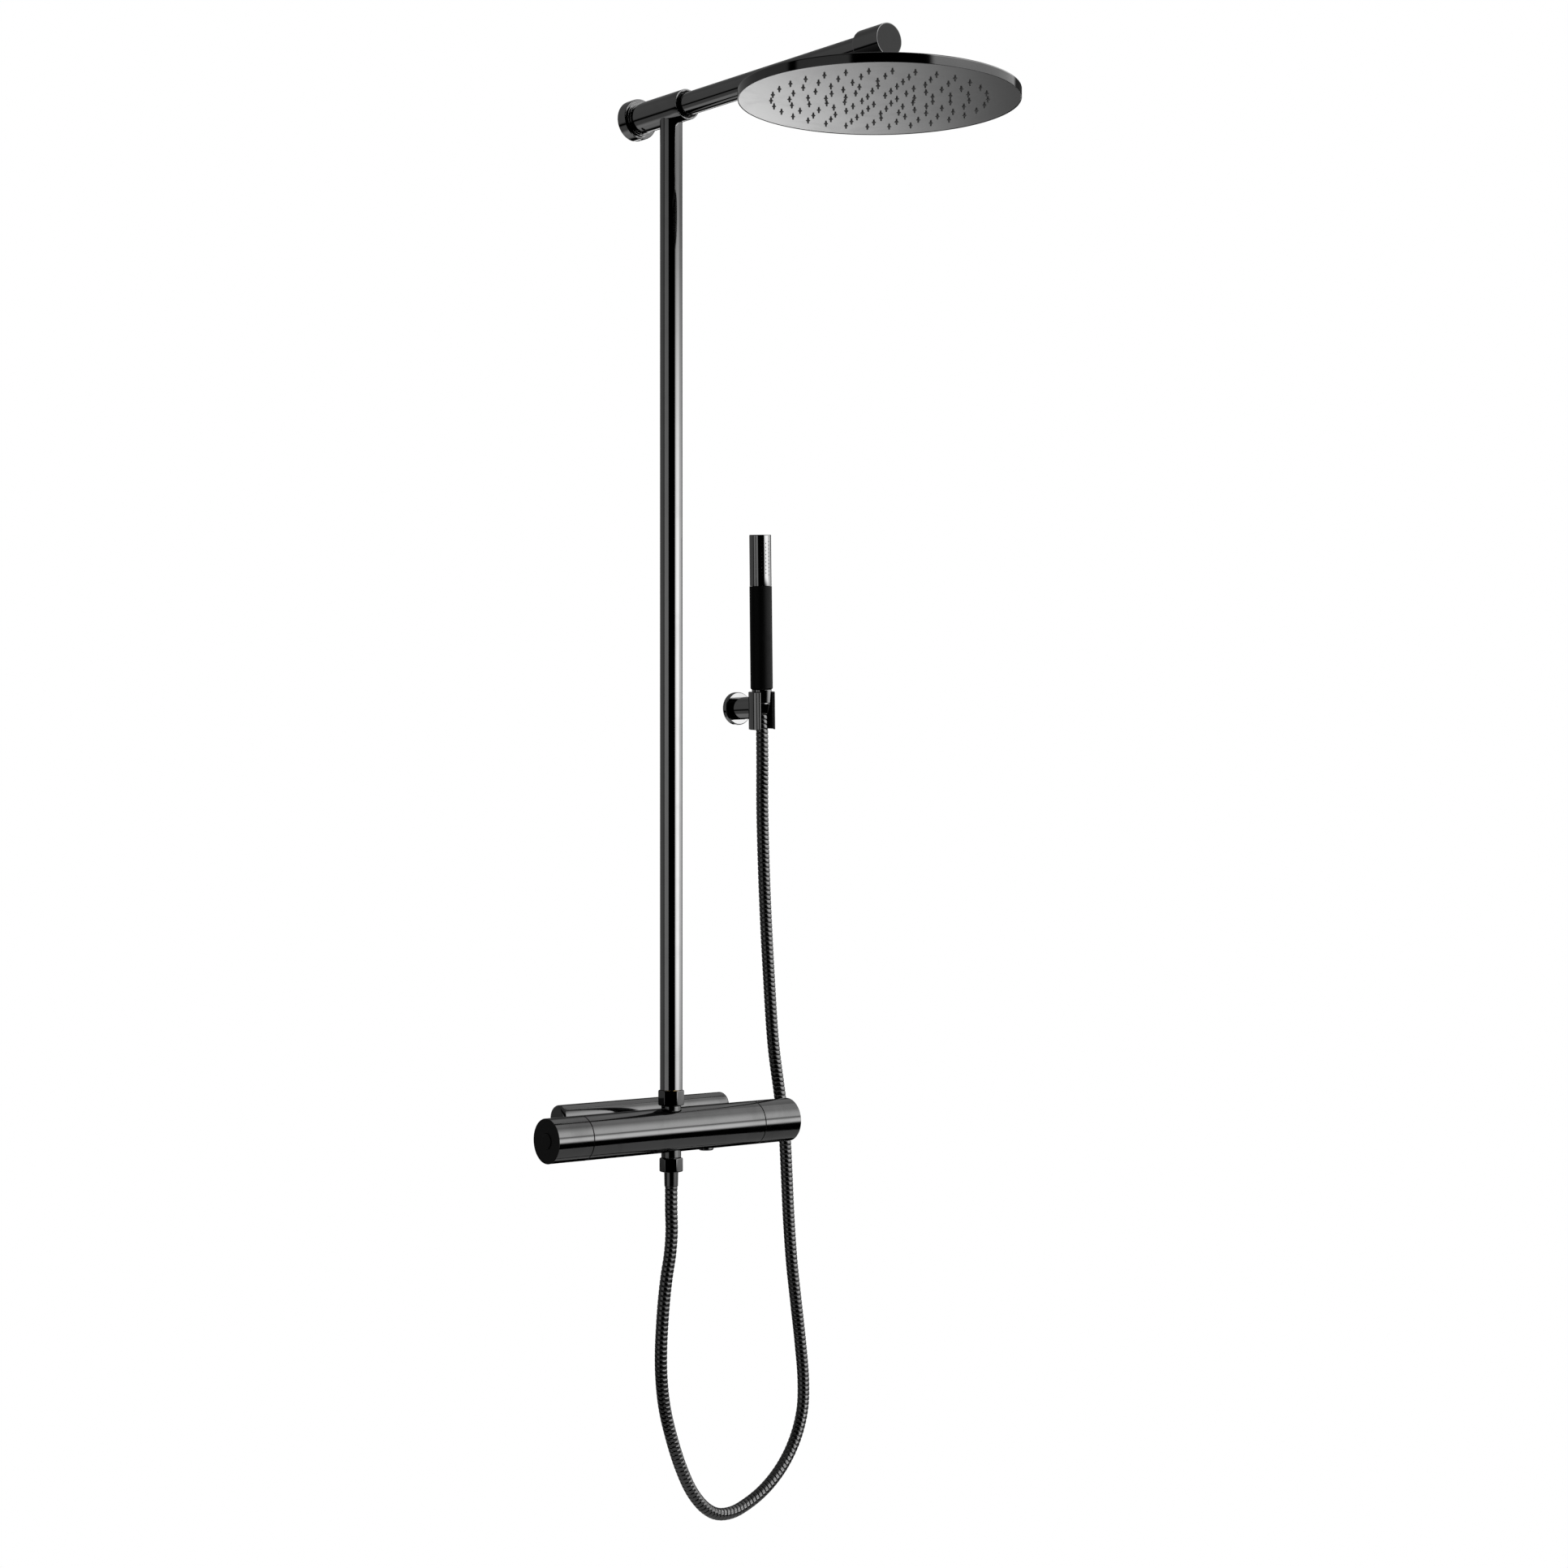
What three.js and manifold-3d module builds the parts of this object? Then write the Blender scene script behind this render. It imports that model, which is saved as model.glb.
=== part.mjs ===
// Rainfall shower column: a bar mixer with two handles, a riser pipe, a wall-held arm with a
// round rain head on a ball joint, and a stick handset in a wall clip on a metal hose.
// Millimetres, +Z up. The wall is the plane y = 0 and the room lies on its -Y side.
import * as THREE from 'three';
import { mergeVertices } from 'three/addons/utils/BufferGeometryUtils.js';
import Module from 'manifold-3d';

const wasm = await Module();
wasm.setup();

// Driving dimensions
const gap = 0.3;
const columnOut = 73;
const mixer = {
  radius: 25.6, bore: 20.4, left: -126.8, right: 120.8, end: 175, seam: 0.8,
  neck: 11.5, spigot: 9.2, channel: 7, inletX: 75, strainerX: 51,
};
const cover = { half: 121, radius: 15.5, wall: 2, topCentre: 16.5, bottomCentre: -13.5 };
const handle = { bore: 22.8, webInner: 17.8, webThick: 3, capRadius: 24.7, capThick: 3, capInset: 0.2 };
const button = { radius: 8.75, proud: 0.8 };
const spindle = { radius: 5, bore: 5.4 };
const riser = { radius: 13, bore: 11.4, bottom: 46.6, top: 1171.5 };
const arm = { z: 1180.8, radius: 13, bore: 11.4, start: -93, finish: -424 };
const tee = { radius: 17.5, back: -18.8, front: -104.2 };
const fitting = { radius: 17.7, back: -411, front: -451, shoulder: 4 };
const head = { y: -435.4, radius: 150, bottom: 1119.6, rim: 10.4, ballZ: 1144, ballRadius: 11 };
const nozzleRings = [[6, 18.8], [12, 37.5], [18, 57], [18, 76], [24, 95], [30, 114.5]];
const nozzleSpoke = 7; // degrees, where every ring starts
const holder = { x: 153.8, z: 493.3, rosette: 19.75, neck: 13.6, stud: 5 };
const clip = { out: 50.5, z: 489.5, outer: 16, inner: 13.5, half: 22.5, slotHalf: 45, leanLeft: 4, leanOut: 4 };
const grip = { radius: 13.4, bottom: 25.5, top: 148.6 };
const spray = { radius: 13, bore: 11.2, top: 209.8 };
const hose = { radius: 7.25, sides: 8, steps: 54, nutEnd: -3.5 };

// The hose hangs from the mixer's lower outlet, turns below it and climbs behind the flow handle.
const hoseRoute = [
  [0, -73, -65.3], [0, -73, -92], [1, -72.5, -118], [-1, -72, -144], [-5, -71, -169],
  [-8, -70, -195], [-10, -69, -224], [-11, -68, -254], [-9, -66, -286], [-2, -63, -323],
  [10, -61, -361], [26, -58, -398], [45, -55, -430], [66, -53, -452], [87, -50, -463],
  [110, -48, -465], [134, -45, -460], [160, -43, -449], [185, -40, -433], [206, -37, -413],
  [222, -35, -388], [232, -33, -360], [235, -31, -327], [232, -29, -281], [226, -28, -232],
  [220, -27, -182], [216, -26, -128], [213.5, -25, -72], [210, -25, -22], [202, -25, 28],
  [192, -26, 84], [182, -29, 172], [172.5, -33, 270], [163.5, -39.5, 370], [158, -46.2, 430],
];

// Facets round a turned piece
const rimSides = 40;
const fine = 24;
const medium = 16;
const coarse = 8;
const nozzleSides = 4;

// Geometry helpers
const degrees = THREE.MathUtils.degToRad;
const points = (pairs) => pairs.map(([x, y]) => new THREE.Vector2(x, y));

// Merges shared vertices, drops collapsed faces and turns the faces outwards.
function closed(source) {
  const bare = source.index ? source.toNonIndexed() : source.clone();
  bare.deleteAttribute('normal');
  bare.deleteAttribute('uv');
  const merged = mergeVertices(bare, 1e-4);
  const at = (i) => new THREE.Vector3().fromBufferAttribute(merged.attributes.position, i);
  const kept = [];
  let volume = 0;
  for (let i = 0; i < merged.index.count; i += 3) {
    const [a, b, c] = [0, 1, 2].map((k) => merged.index.getX(i + k));
    if (a === b || b === c || c === a) continue;
    kept.push([a, b, c]);
    volume += at(a).dot(at(b).cross(at(c)));
  }
  merged.setIndex(kept.flatMap(([a, b, c]) => (volume < 0 ? [a, c, b] : [a, b, c])));
  return merged;
}

function solid(geometry) {
  const mesh = closed(geometry);
  return new wasm.Manifold(new wasm.Mesh({
    numProp: 3,
    vertProperties: new Float32Array(mesh.attributes.position.array),
    triVerts: new Uint32Array(mesh.index.array),
  }));
}

function geometryOf(body) {
  const mesh = body.getMesh();
  const geometry = new THREE.BufferGeometry();
  geometry.setAttribute('position', new THREE.BufferAttribute(mesh.vertProperties, 3));
  geometry.setIndex(new THREE.BufferAttribute(mesh.triVerts, 1));
  return geometry;
}

// Joins the first list of shapes and cuts the second list out of them.
function carve(joined, cuts = []) {
  const whole = joined.map(solid).reduce((a, b) => a.add(b));
  return geometryOf(cuts.map(solid).reduce((a, b) => a.subtract(b), whole));
}

// A turned piece: [radius, station] pairs revolved about an axis, stations running along +axis.
function turned(profile, axis = 'z', sides = medium) {
  const first = profile[0];
  const last = profile.at(-1);
  const open = first[0] > 0 || last[0] > 0;
  const outline = open ? [...profile, first] : profile;
  const geometry = new THREE.LatheGeometry(points(outline), sides);
  if (axis === 'z') geometry.rotateX(Math.PI / 2);
  if (axis === 'x') geometry.rotateZ(-Math.PI / 2);
  return geometry;
}

const rod = (radius, from, to, axis, sides) =>
  turned([[0, from], [radius, from], [radius, to], [0, to]], axis, sides);
const tube = (radius, bore, from, to, axis, sides) =>
  turned([[bore, from], [radius, from], [radius, to], [bore, to]], axis, sides);

// A hexagonal bar along Z, given across its flats.
function hexBar(flats, from, to) {
  const shape = new THREE.Shape();
  for (let i = 0; i < 6; i += 1) {
    const a = degrees(60 * i + 20);
    const r = flats / 2 / Math.cos(Math.PI / 6);
    shape[i ? 'lineTo' : 'moveTo'](r * Math.cos(a), r * Math.sin(a));
  }
  return new THREE.ExtrudeGeometry(shape, { depth: to - from, bevelEnabled: false }).translate(0, 0, from);
}

function boxAt(x, y, z, centre) {
  return new THREE.BoxGeometry(x, y, z).translate(...centre);
}

// Materials
const finish = (color, roughness, metalness) => new THREE.MeshStandardMaterial({ color, roughness, metalness });
const looks = {
  blackChrome: finish(0x1c1c1e, 0.12, 1),
  satinBlack: finish(0x222224, 0.45, 0.6),
  satinFace: finish(0x6f6f72, 0.35, 1),
  rubber: finish(0x0b0b0c, 0.75, 0),
  silicone: finish(0x2c2c2e, 0.6, 0),
  brass: finish(0xb08d4a, 0.35, 1),
  steel: finish(0x9a9ca0, 0.3, 1),
  plastic: finish(0x1a1a1b, 0.5, 0),
  whitePlastic: finish(0xe4e4e0, 0.5, 0),
};

const assembly = new THREE.Group();

function place(name, geometry, look, parent = assembly, at = [0, 0, 0]) {
  const mesh = new THREE.Mesh(closed(geometry), looks[look]);
  mesh.name = name;
  mesh.position.set(...at);
  parent.add(mesh);
  return mesh;
}

const columnFoot = [0, -columnOut, 0];

// Wall side of the mixer: plate, cover, inlet unions and their nuts
function stadium(inset) {
  const r = cover.radius - inset;
  const shape = new THREE.Shape();
  shape.absarc(0, cover.topCentre, r, 0, Math.PI, false);
  shape.absarc(0, cover.bottomCentre, r, Math.PI, Math.PI * 2, false);
  shape.closePath();
  const length = 2 * (cover.half - inset);
  const geometry = new THREE.ExtrudeGeometry(shape, { depth: length, bevelEnabled: false, curveSegments: 8 });
  // The section is drawn in X (out from the wall) and Y (up) and laid along the world X axis.
  geometry.translate(0, 0, -length / 2);
  geometry.applyMatrix4(new THREE.Matrix4().makeBasis(
    new THREE.Vector3(0, 1, 0), new THREE.Vector3(0, 0, 1), new THREE.Vector3(1, 0, 0)));
  return geometry.translate(0, -cover.radius - gap, 0);
}

const plate = { half: 104, height: 27, thick: 3, screwX: 40, screwHole: 2.6 };
const bothInlets = [-mixer.inletX, mixer.inletX];
const tail = { radius: 11, bore: 7, end: -44.2 };

place('wall_plate', carve(
  [boxAt(2 * plate.half, plate.thick, plate.height, [0, -plate.thick / 2, 0])],
  [...bothInlets.map((x) => rod(tail.radius + 0.8, -9, 9, 'y', medium).translate(x, 0, 0)),
    ...[-1, 1].map((s) => rod(plate.screwHole, -9, 9, 'y', coarse).translate(s * plate.screwX, 0, 0))],
), 'steel');

place('wall_cover', carve(
  [stadium(0)],
  [stadium(cover.wall),
    boxAt(2 * plate.half + 6, 8, plate.height + 1.5, [0, -2, 0]),
    ...bothInlets.map((x) => rod(tail.radius + 0.8, -50, -20, 'y', medium).translate(x, 0, 0))],
), 'blackChrome');

[-1, 1].forEach((side, i) => {
  const screw = [[0, -6], [2, -6], [4.2, -5], [4.2, -3.3], [2.2, -3.3], [2.2, 0], [0, 0]];
  place(`plate_screw_${i + 1}`, turned(screw, 'y', coarse), 'steel', assembly, [side * plate.screwX, 0, 0]);
});

const bossFace = -44.5;
['left', 'right'].forEach((side, i) => {
  const at = [bothInlets[i], 0, 0];
  place(`inlet_union_${side}`, tube(tail.radius, tail.bore, tail.end, 0, 'y', medium), 'brass', assembly, at);
  place(`check_valve_${side}`, turned(
    [[3, -36], [6.7, -36], [6.7, -22], [4, -20], [3, -20]], 'y', coarse), 'whitePlastic', assembly, at);
  const nut = hexBar(29, 34, 43.8).rotateX(Math.PI / 2);
  place(`union_nut_${side}`, carve([nut], [rod(tail.radius + 0.4, -60, 0, 'y', medium)]), 'blackChrome', assembly, at);
});

// Mixer body: one bored casting with two inlets, an upper and a lower outlet and a strainer port
const upperSpigot = 40.4;
const lowerSpigot = -42;
const neckTop = 28.4;
const neckBottom = -31.8;
place('mixer_body', carve(
  [rod(mixer.radius, mixer.left, mixer.right, 'x', fine),
    rod(mixer.neck, neckBottom, neckTop, 'z', medium),
    rod(mixer.spigot, lowerSpigot, upperSpigot, 'z', medium),
    ...bothInlets.map((x) => rod(12.5, 0, columnOut + bossFace, 'y', medium).translate(x, 0, 0))],
  [rod(mixer.bore, mixer.left - 1, mixer.right + 1, 'x', fine),
    rod(mixer.channel, lowerSpigot - 1, upperSpigot + 1, 'z', medium),
    ...bothInlets.map((x) => rod(mixer.channel, 0, columnOut, 'y', coarse).translate(x, 0, 0)),
    rod(7.2, -40, 0, 'z', medium).translate(mixer.strainerX, 0, 0)],
), 'blackChrome', assembly, columnFoot);

place('strainer_plug', turned([[0, -29], [8, -29], [9, -28], [9, -25.9], [6.9, -25.9], [6.9, -14.5], [0, -14.5]],
  'z', medium), 'blackChrome', assembly, [mixer.strainerX, -columnOut, 0]);

// Cartridges, spindles, handles and end caps: the same set on both ends, mirrored
function cartridgeProfile(from, to) {
  const ring = 1.2;
  return [[spindle.bore, from], [20, from], [20, to - 8 * Math.sign(to - from)],
    [20 - ring, to - 8 * Math.sign(to - from)], [20 - ring, to], [spindle.bore, to]];
}

function handleSet(side, names, bodyEnd) {
  const end = side * mixer.end;
  const near = bodyEnd + side * mixer.seam;
  const web = side * (mixer.end - handle.webInner);
  const webBack = web + side * handle.webThick;
  const capBack = side * (mixer.end - handle.capThick - handle.capInset);
  const ledge = capBack - side * gap;
  const cap = side * (mixer.end - handle.capInset);
  place(names.cartridge, turned(cartridgeProfile(bodyEnd - side * 60, bodyEnd - side * 3), 'x', medium), 'brass',
    assembly, columnFoot);
  const screwTip = web - side * 7;
  place(names.spindle, turned([[0, bodyEnd - side * 56], [spindle.radius, bodyEnd - side * 56],
    [spindle.radius, web - side * gap], [2.3, web - side * gap], [2.3, screwTip], [0, screwTip]], 'x', medium),
  'brass', assembly, columnFoot);
  place(names.handle, turned([[2.4, web], [handle.bore, web], [handle.bore, near], [mixer.radius, near],
    [mixer.radius, end], [handle.capRadius + gap, end], [handle.capRadius + gap, ledge], [handle.bore, ledge],
    [handle.bore, webBack], [2.4, webBack]], 'x', fine), 'blackChrome', assembly, columnFoot);
  const headBack = webBack + side * gap;
  place(names.screw, turned([[0, screwTip + side * gap], [2, screwTip + side * gap], [2, headBack],
    [4.2, headBack], [4.2, headBack + side * 3.4], [0, headBack + side * 3.4]], 'x', coarse), 'steel',
  assembly, columnFoot);
  const bore = names.button ? button.radius + gap : 0;
  const capProfile = [[bore, capBack], [handle.capRadius, capBack], [handle.capRadius, cap], [bore, cap]];
  place(names.cap, turned(capProfile, 'x', fine), 'satinBlack', assembly, columnFoot);
  return { capBack, webBack };
}

const leftEnd = handleSet(-1, {
  cartridge: 'thermostat_cartridge', spindle: 'thermostat_spindle', handle: 'temperature_handle',
  screw: 'temperature_handle_screw', cap: 'temperature_end_cap', button: true,
}, mixer.left);
handleSet(1, {
  cartridge: 'diverter_cartridge', spindle: 'diverter_spindle', handle: 'flow_handle',
  screw: 'flow_handle_screw', cap: 'flow_end_cap',
}, mixer.right);

const buttonFlange = leftEnd.capBack + gap;
const buttonInner = -166.6;
place('safety_button', turned([[0, -mixer.end - button.proud], [button.radius - 0.8, -mixer.end - button.proud],
  [button.radius, -mixer.end], [button.radius, buttonFlange], [10.6, buttonFlange], [10.6, buttonFlange + 1.6],
  [7.9, buttonFlange + 1.6], [7.9, buttonInner], [0, buttonInner]], 'x', medium), 'satinBlack',
assembly, columnFoot);

// Button return spring: a round wire wound between the button and the handle's web
function springWire(radius, wire, from, to, turns) {
  const wound = [];
  const perTurn = 9;
  for (let i = 0; i <= turns * perTurn; i += 1) {
    const a = (i / perTurn) * 2 * Math.PI;
    const x = from + ((to - from) * i) / (turns * perTurn);
    wound.push(new THREE.Vector3(x, radius * Math.cos(a), radius * Math.sin(a)));
  }
  const section = new THREE.Shape().absarc(0, 0, wire, 0, 2 * Math.PI, false);
  return new THREE.ExtrudeGeometry(section, {
    curveSegments: 5, steps: Math.round(turns * perTurn), bevelEnabled: false, extrudePath: new THREE.CatmullRomCurve3(wound),
  });
}
place('button_spring', springWire(6.4, 0.35, buttonInner + 0.8, leftEnd.webBack - 0.8, 2.5), 'steel',
  assembly, columnFoot);

// Riser: union nut on the mixer's upper outlet, its seal and tail, and the pipe
place('riser_nut', carve([hexBar(26.5, 28.7, 46.3)],
  [rod(9.5, 20, 41, 'z', medium), rod(12.3, 40.9, 45, 'z', medium), rod(11.4, 44.9, 60, 'z', medium)]),
'blackChrome', assembly, columnFoot);
place('riser_seal', tube(8.8, 6, 40.7, 42.3, 'z', medium), 'rubber', assembly, columnFoot);
place('riser_tail', turned([[6.5, 42.6], [11.9, 42.6], [11.9, 44.6], [11, 44.6], [11, 72], [6.5, 72]], 'z', medium),
  'brass', assembly, columnFoot);
place('riser_pipe', tube(riser.radius, riser.bore, riser.bottom, riser.top, 'z', fine), 'blackChrome',
  assembly, columnFoot);

// Tee at the top of the riser, held to the wall by an anchor and a grub screw
const grub = { y: -29.4, tilt: 64, radius: 2, hole: 2.35 };
const anchorRadius = 9;
const armFoot = [0, 0, arm.z];

// Lays a bar drawn along Z from the tee's axis out through its underside, towards the left.
const towardsGrub = (geometry) => geometry.rotateY(degrees(-90 - grub.tilt)).translate(0, grub.y, 0);

place('tee_body', carve(
  [turned([[0, tee.front], [tee.radius, tee.front], [tee.radius, tee.back], [0, tee.back]], 'y', fine)],
  [rod(anchorRadius + gap, -50, 0, 'y', medium),
    rod(riser.radius + gap, -60, -8.8, 'z', fine).translate(0, -columnOut, 0),
    rod(8, -12, 0, 'z', coarse).translate(0, -columnOut, 0),
    rod(8, -94, -columnOut, 'y', coarse),
    rod(arm.radius + gap, -140, arm.start + 1, 'y', fine),
    rod(15.7, -140, tee.front + 2.6, 'y', fine),
    towardsGrub(rod(grub.hole, 4, 30, 'z', coarse))],
), 'blackChrome', assembly, armFoot);
place('tee_grub_screw', towardsGrub(rod(grub.radius, anchorRadius + 0.6, 16, 'z', coarse)), 'steel', assembly, armFoot);
place('tee_seal', tube(15.3, arm.radius + gap, tee.front + 0.6, tee.front + 2.3, 'y', fine), 'rubber',
  assembly, armFoot);
place('wall_flange', turned([[anchorRadius + gap, -18.4], [18.6, -18.4], [18.6, -17], [20.4, -17], [20.4, -14.8],
  [22.6, -14.8], [23.4, -14], [23.4, 0], [anchorRadius + gap, 0]], 'y', fine), 'blackChrome', assembly, armFoot);
place('wall_anchor', rod(anchorRadius, -49.5, 0, 'y', medium), 'brass', assembly, armFoot);

// Arm pipe and its end fitting
place('arm_pipe', tube(arm.radius, arm.bore, arm.finish, arm.start, 'y', fine), 'blackChrome', assembly, armFoot);
const studHole = 8.4;
const shoulder = [0, 30, 60, 90].map((a) => [
  fitting.radius - fitting.shoulder * (1 - Math.cos(degrees(a))),
  fitting.back - fitting.shoulder * (1 - Math.sin(degrees(a)))]);
place('arm_end_fitting', carve(
  [turned([[0, fitting.front], [fitting.radius - 0.6, fitting.front], [fitting.radius, fitting.front + 0.6],
    ...shoulder, [0, fitting.back]], 'y', fine)],
  [rod(arm.radius + gap, arm.finish - 2, fitting.back + 9, 'y', fine),
    rod(8, head.y, arm.finish, 'y', coarse),
    rod(studHole, -60, -8.4, 'z', medium).translate(0, head.y, 0),
    rod(4, -9, 0, 'z', coarse).translate(0, head.y, 0)],
), 'blackChrome', assembly, armFoot);

// Rain head: ball stud, socket nut, shell, face plate and the silicone nozzle mat
const headCentre = [0, head.y, 0];
const arcPoints = (radius, from, to, count) => Array.from({ length: count + 1 }, (_, i) => {
  const a = degrees(from + ((to - from) * i) / count);
  return [radius * Math.cos(a), head.ballZ + radius * Math.sin(a)];
});
const ballBore = 3.6;
place('ball_stud', turned([...arcPoints(head.ballRadius, -70.9, 47, 7), [7.5, 1157], [12.5, 1157], [12.5, 1162.5],
  [8, 1162.5], [8, 1171.6], [ballBore, 1171.6], [ballBore, head.ballZ - 10.39]], 'z', medium),
'blackChrome', assembly, headCentre);
const seat = head.ballRadius + 0.4;
place('ball_socket_nut', turned([[12.2, 1131.5], [16.5, 1131.5], [16.5, 1148.7], [15.7, 1149.5],
  ...arcPoints(seat, 28.8, 0, 4), [12.2, 1143]], 'z', fine), 'blackChrome', assembly, headCentre);
place('ball_seal', tube(11.9, 6.6, 1131.6, 1133, 'z', medium), 'rubber', assembly, headCentre);

const rimTop = head.bottom + head.rim;
const rimWall = 0.8;
const faceRadius = head.radius - rimWall - gap;
const matRadius = head.radius - 6.8;
place('head_body', turned([[8, 1131.2], [17, 1131.2], [21, 1130.4], [head.radius - 1, rimTop],
  [head.radius, rimTop - 1], [head.radius, head.bottom + 0.4], [head.radius - 0.4, head.bottom],
  [head.radius - rimWall, head.bottom], [head.radius - rimWall, head.bottom + 5.2], [20, 1128.4], [8, 1128.4]], 'z', rimSides),
'blackChrome', assembly, headCentre);

function eachNozzle(make) {
  return nozzleRings.flatMap(([count, radius]) => Array.from({ length: count }, (_, i) => {
    const a = degrees(nozzleSpoke + (360 * i) / count);
    return make().translate(radius * Math.cos(a), radius * Math.sin(a), 0);
  }));
}
const joinAll = (parts) => geometryOf(wasm.Manifold.union(parts));
const faceBottom = head.bottom + 0.4;
const faceTop = faceBottom + 1;
const nozzleHole = rod(2.65, faceBottom - 1, faceTop + 1, 'z', nozzleSides);
const face = solid(rod(faceRadius, faceBottom, faceTop, 'z', rimSides));
const holes = wasm.Manifold.union(eachNozzle(() => nozzleHole.clone()).map(solid));
place('head_faceplate', geometryOf(face.subtract(holes)), 'satinFace', assembly, headCentre);
const matBottom = faceTop + gap;
const nozzle = turned([[0, head.bottom - 2.8], [1.3, head.bottom - 2.8], [2.3, matBottom + 0.6], [0, matBottom + 0.6]],
  'z', nozzleSides);
const mat = rod(matRadius, matBottom, matBottom + 1.2, 'z', rimSides);
place('nozzle_mat', joinAll([mat, ...eachNozzle(() => nozzle.clone())].map(solid)), 'silicone', assembly, headCentre);

// Handset holder: rosette, wall stud, and a neck that carries the open clip
const holderFoot = [holder.x, 0, holder.z];
place('holder_rosette', turned([[holder.stud + gap, -7], [18.9, -7], [holder.rosette, -6.2], [holder.rosette, 0],
  [holder.stud + gap, 0]], 'y', fine), 'blackChrome', assembly, holderFoot);
place('holder_stud', rod(holder.stud, -29.5, 0, 'y', coarse), 'brass', assembly, holderFoot);

const clipCentre = new THREE.Vector3(holder.x, -clip.out, clip.z);
const lean = new THREE.Vector3(-Math.tan(degrees(clip.leanLeft)), -Math.tan(degrees(clip.leanOut)), 1).normalize();
const leaning = new THREE.Quaternion().setFromUnitVectors(new THREE.Vector3(0, 0, 1), lean);
const inClip = (geometry) => geometry.applyQuaternion(leaning).translate(...clipCentre.toArray());

// A wedge open towards the room, cut through the clip and its liner
function slotWedge() {
  const reach = 40;
  const side = reach * Math.tan(degrees(clip.slotHalf));
  const shape = new THREE.Shape(points([[0, 0], [-side, -reach], [side, -reach]]));
  return new THREE.ExtrudeGeometry(shape, { depth: 60, bevelEnabled: false }).translate(0, 0, -30);
}

const grubHole = rod(2.3, -30, -5, 'z', coarse).translate(holder.x, -18, holder.z);
const neckEnd = -clip.out + clip.inner - 2;
place('handset_holder', carve(
  [rod(holder.neck, neckEnd, -7.3, 'y', fine).translate(...holderFoot),
    inClip(rod(clip.outer, -clip.half, clip.half, 'z', fine))],
  [inClip(rod(clip.inner, -40, 40, 'z', fine)),
    inClip(slotWedge()),
    rod(holder.stud + gap, -30, 0, 'y', coarse).translate(...holderFoot),
    grubHole],
), 'blackChrome');
place('holder_grub_screw', rod(2, -12.6, -5.4, 'z', coarse), 'steel', assembly, [holder.x, -18, holder.z]);

const handset = new THREE.Group();
handset.position.copy(clipCentre);
handset.quaternion.copy(leaning);
assembly.add(handset);

place('clip_liner', carve(
  [turned([[11.5, -21.5], [13.2, -21.5], [13.2, 21.5], [12.3, 21.5], [11.5, 6]], 'z', fine)], [slotWedge()]),
'plastic', handset);

// Handset: inner tube, rubber grip, spray sleeve and jet insert, all on the clip's leaning axis
const neckFoot = 9.4;
place('handset_tube', turned([[6, 4.6], [8.9, 4.6], [8.9, neckFoot], [10.9, neckFoot], [11.9, grip.bottom - gap],
  [9.4, grip.bottom - gap], [9.4, 204], [6, 204]], 'z', medium), 'blackChrome', handset);
place('flow_restrictor', tube(5.7, 2, 8, 11, 'z', coarse), 'whitePlastic', handset);
place('grip_sleeve', turned([[9.7, grip.bottom], [12.2, grip.bottom], [grip.radius, grip.bottom + 1.3],
  [grip.radius, grip.top], [9.7, grip.top]], 'z', fine), 'rubber', handset);
const sleeveFoot = grip.top + gap;
place('spray_sleeve', turned([[spray.bore, sleeveFoot], [spray.radius, sleeveFoot],
  [spray.radius, spray.top - 1], [spray.radius - 1, spray.top], [0, spray.top], [0, spray.top - 2],
  [spray.bore, spray.top - 2]], 'z', fine), 'blackChrome', handset);
place('jet_insert', tube(10.9, 9.7, sleeveFoot + gap, 205, 'z', medium), 'silicone', handset);

// Hose ends: a plain hexagonal nut below the mixer and a conical one under the handset
place('hose_nut', carve([hexBar(24, -48, -32.2)], [rod(9.5, -46, -20, 'z', medium), rod(8.3, -60, -45.9, 'z', medium)]),
  'blackChrome', assembly, columnFoot);
place('hose_washer', tube(9, 5, -43.9, -42.3, 'z', coarse), 'rubber', assembly, columnFoot);
place('hose_ferrule', turned([[4.5, -65], [8, -65], [8, -45.7], [9.2, -45.7], [9.2, -44.2], [4.5, -44.2]], 'z', medium),
  'blackChrome', assembly, columnFoot);
place('hose_cone_nut', turned([[7, -3.2], [8.4, -3.2], [11, 8.7], [9.2, 8.7], [9.2, 0.5], [7, 0.5]], 'z', medium),
  'blackChrome', handset);
place('handset_ferrule', turned([[4, -3.1], [6.7, -3.1], [6.7, 0.8], [8.9, 0.8], [8.9, 2.2], [4, 2.2]], 'z', medium),
  'brass', handset);
place('handset_washer', tube(8.8, 5, 2.5, 4.2, 'z', coarse), 'rubber', handset);

// Hose: one smooth curve, straight out of each nut
function hoseCurve() {
  const onClipAxis = (s) => clipCentre.clone().addScaledVector(lean, s);
  const route = hoseRoute.map((p) => new THREE.Vector3(...p));
  route.push(onClipAxis(-32), onClipAxis(-16), onClipAxis(hose.nutEnd));
  return new THREE.CatmullRomCurve3(route, false, 'centripetal');
}
const hoseSection = new THREE.Shape();
for (let i = 0; i < hose.sides; i += 1) {
  const a = (2 * Math.PI * i) / hose.sides;
  hoseSection[i ? 'lineTo' : 'moveTo'](hose.radius * Math.cos(a), hose.radius * Math.sin(a));
}
place('hose', new THREE.ExtrudeGeometry(hoseSection, {
  steps: hose.steps, bevelEnabled: false, extrudePath: hoseCurve(),
}), 'blackChrome');

export default assembly;
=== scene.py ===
import math

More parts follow.
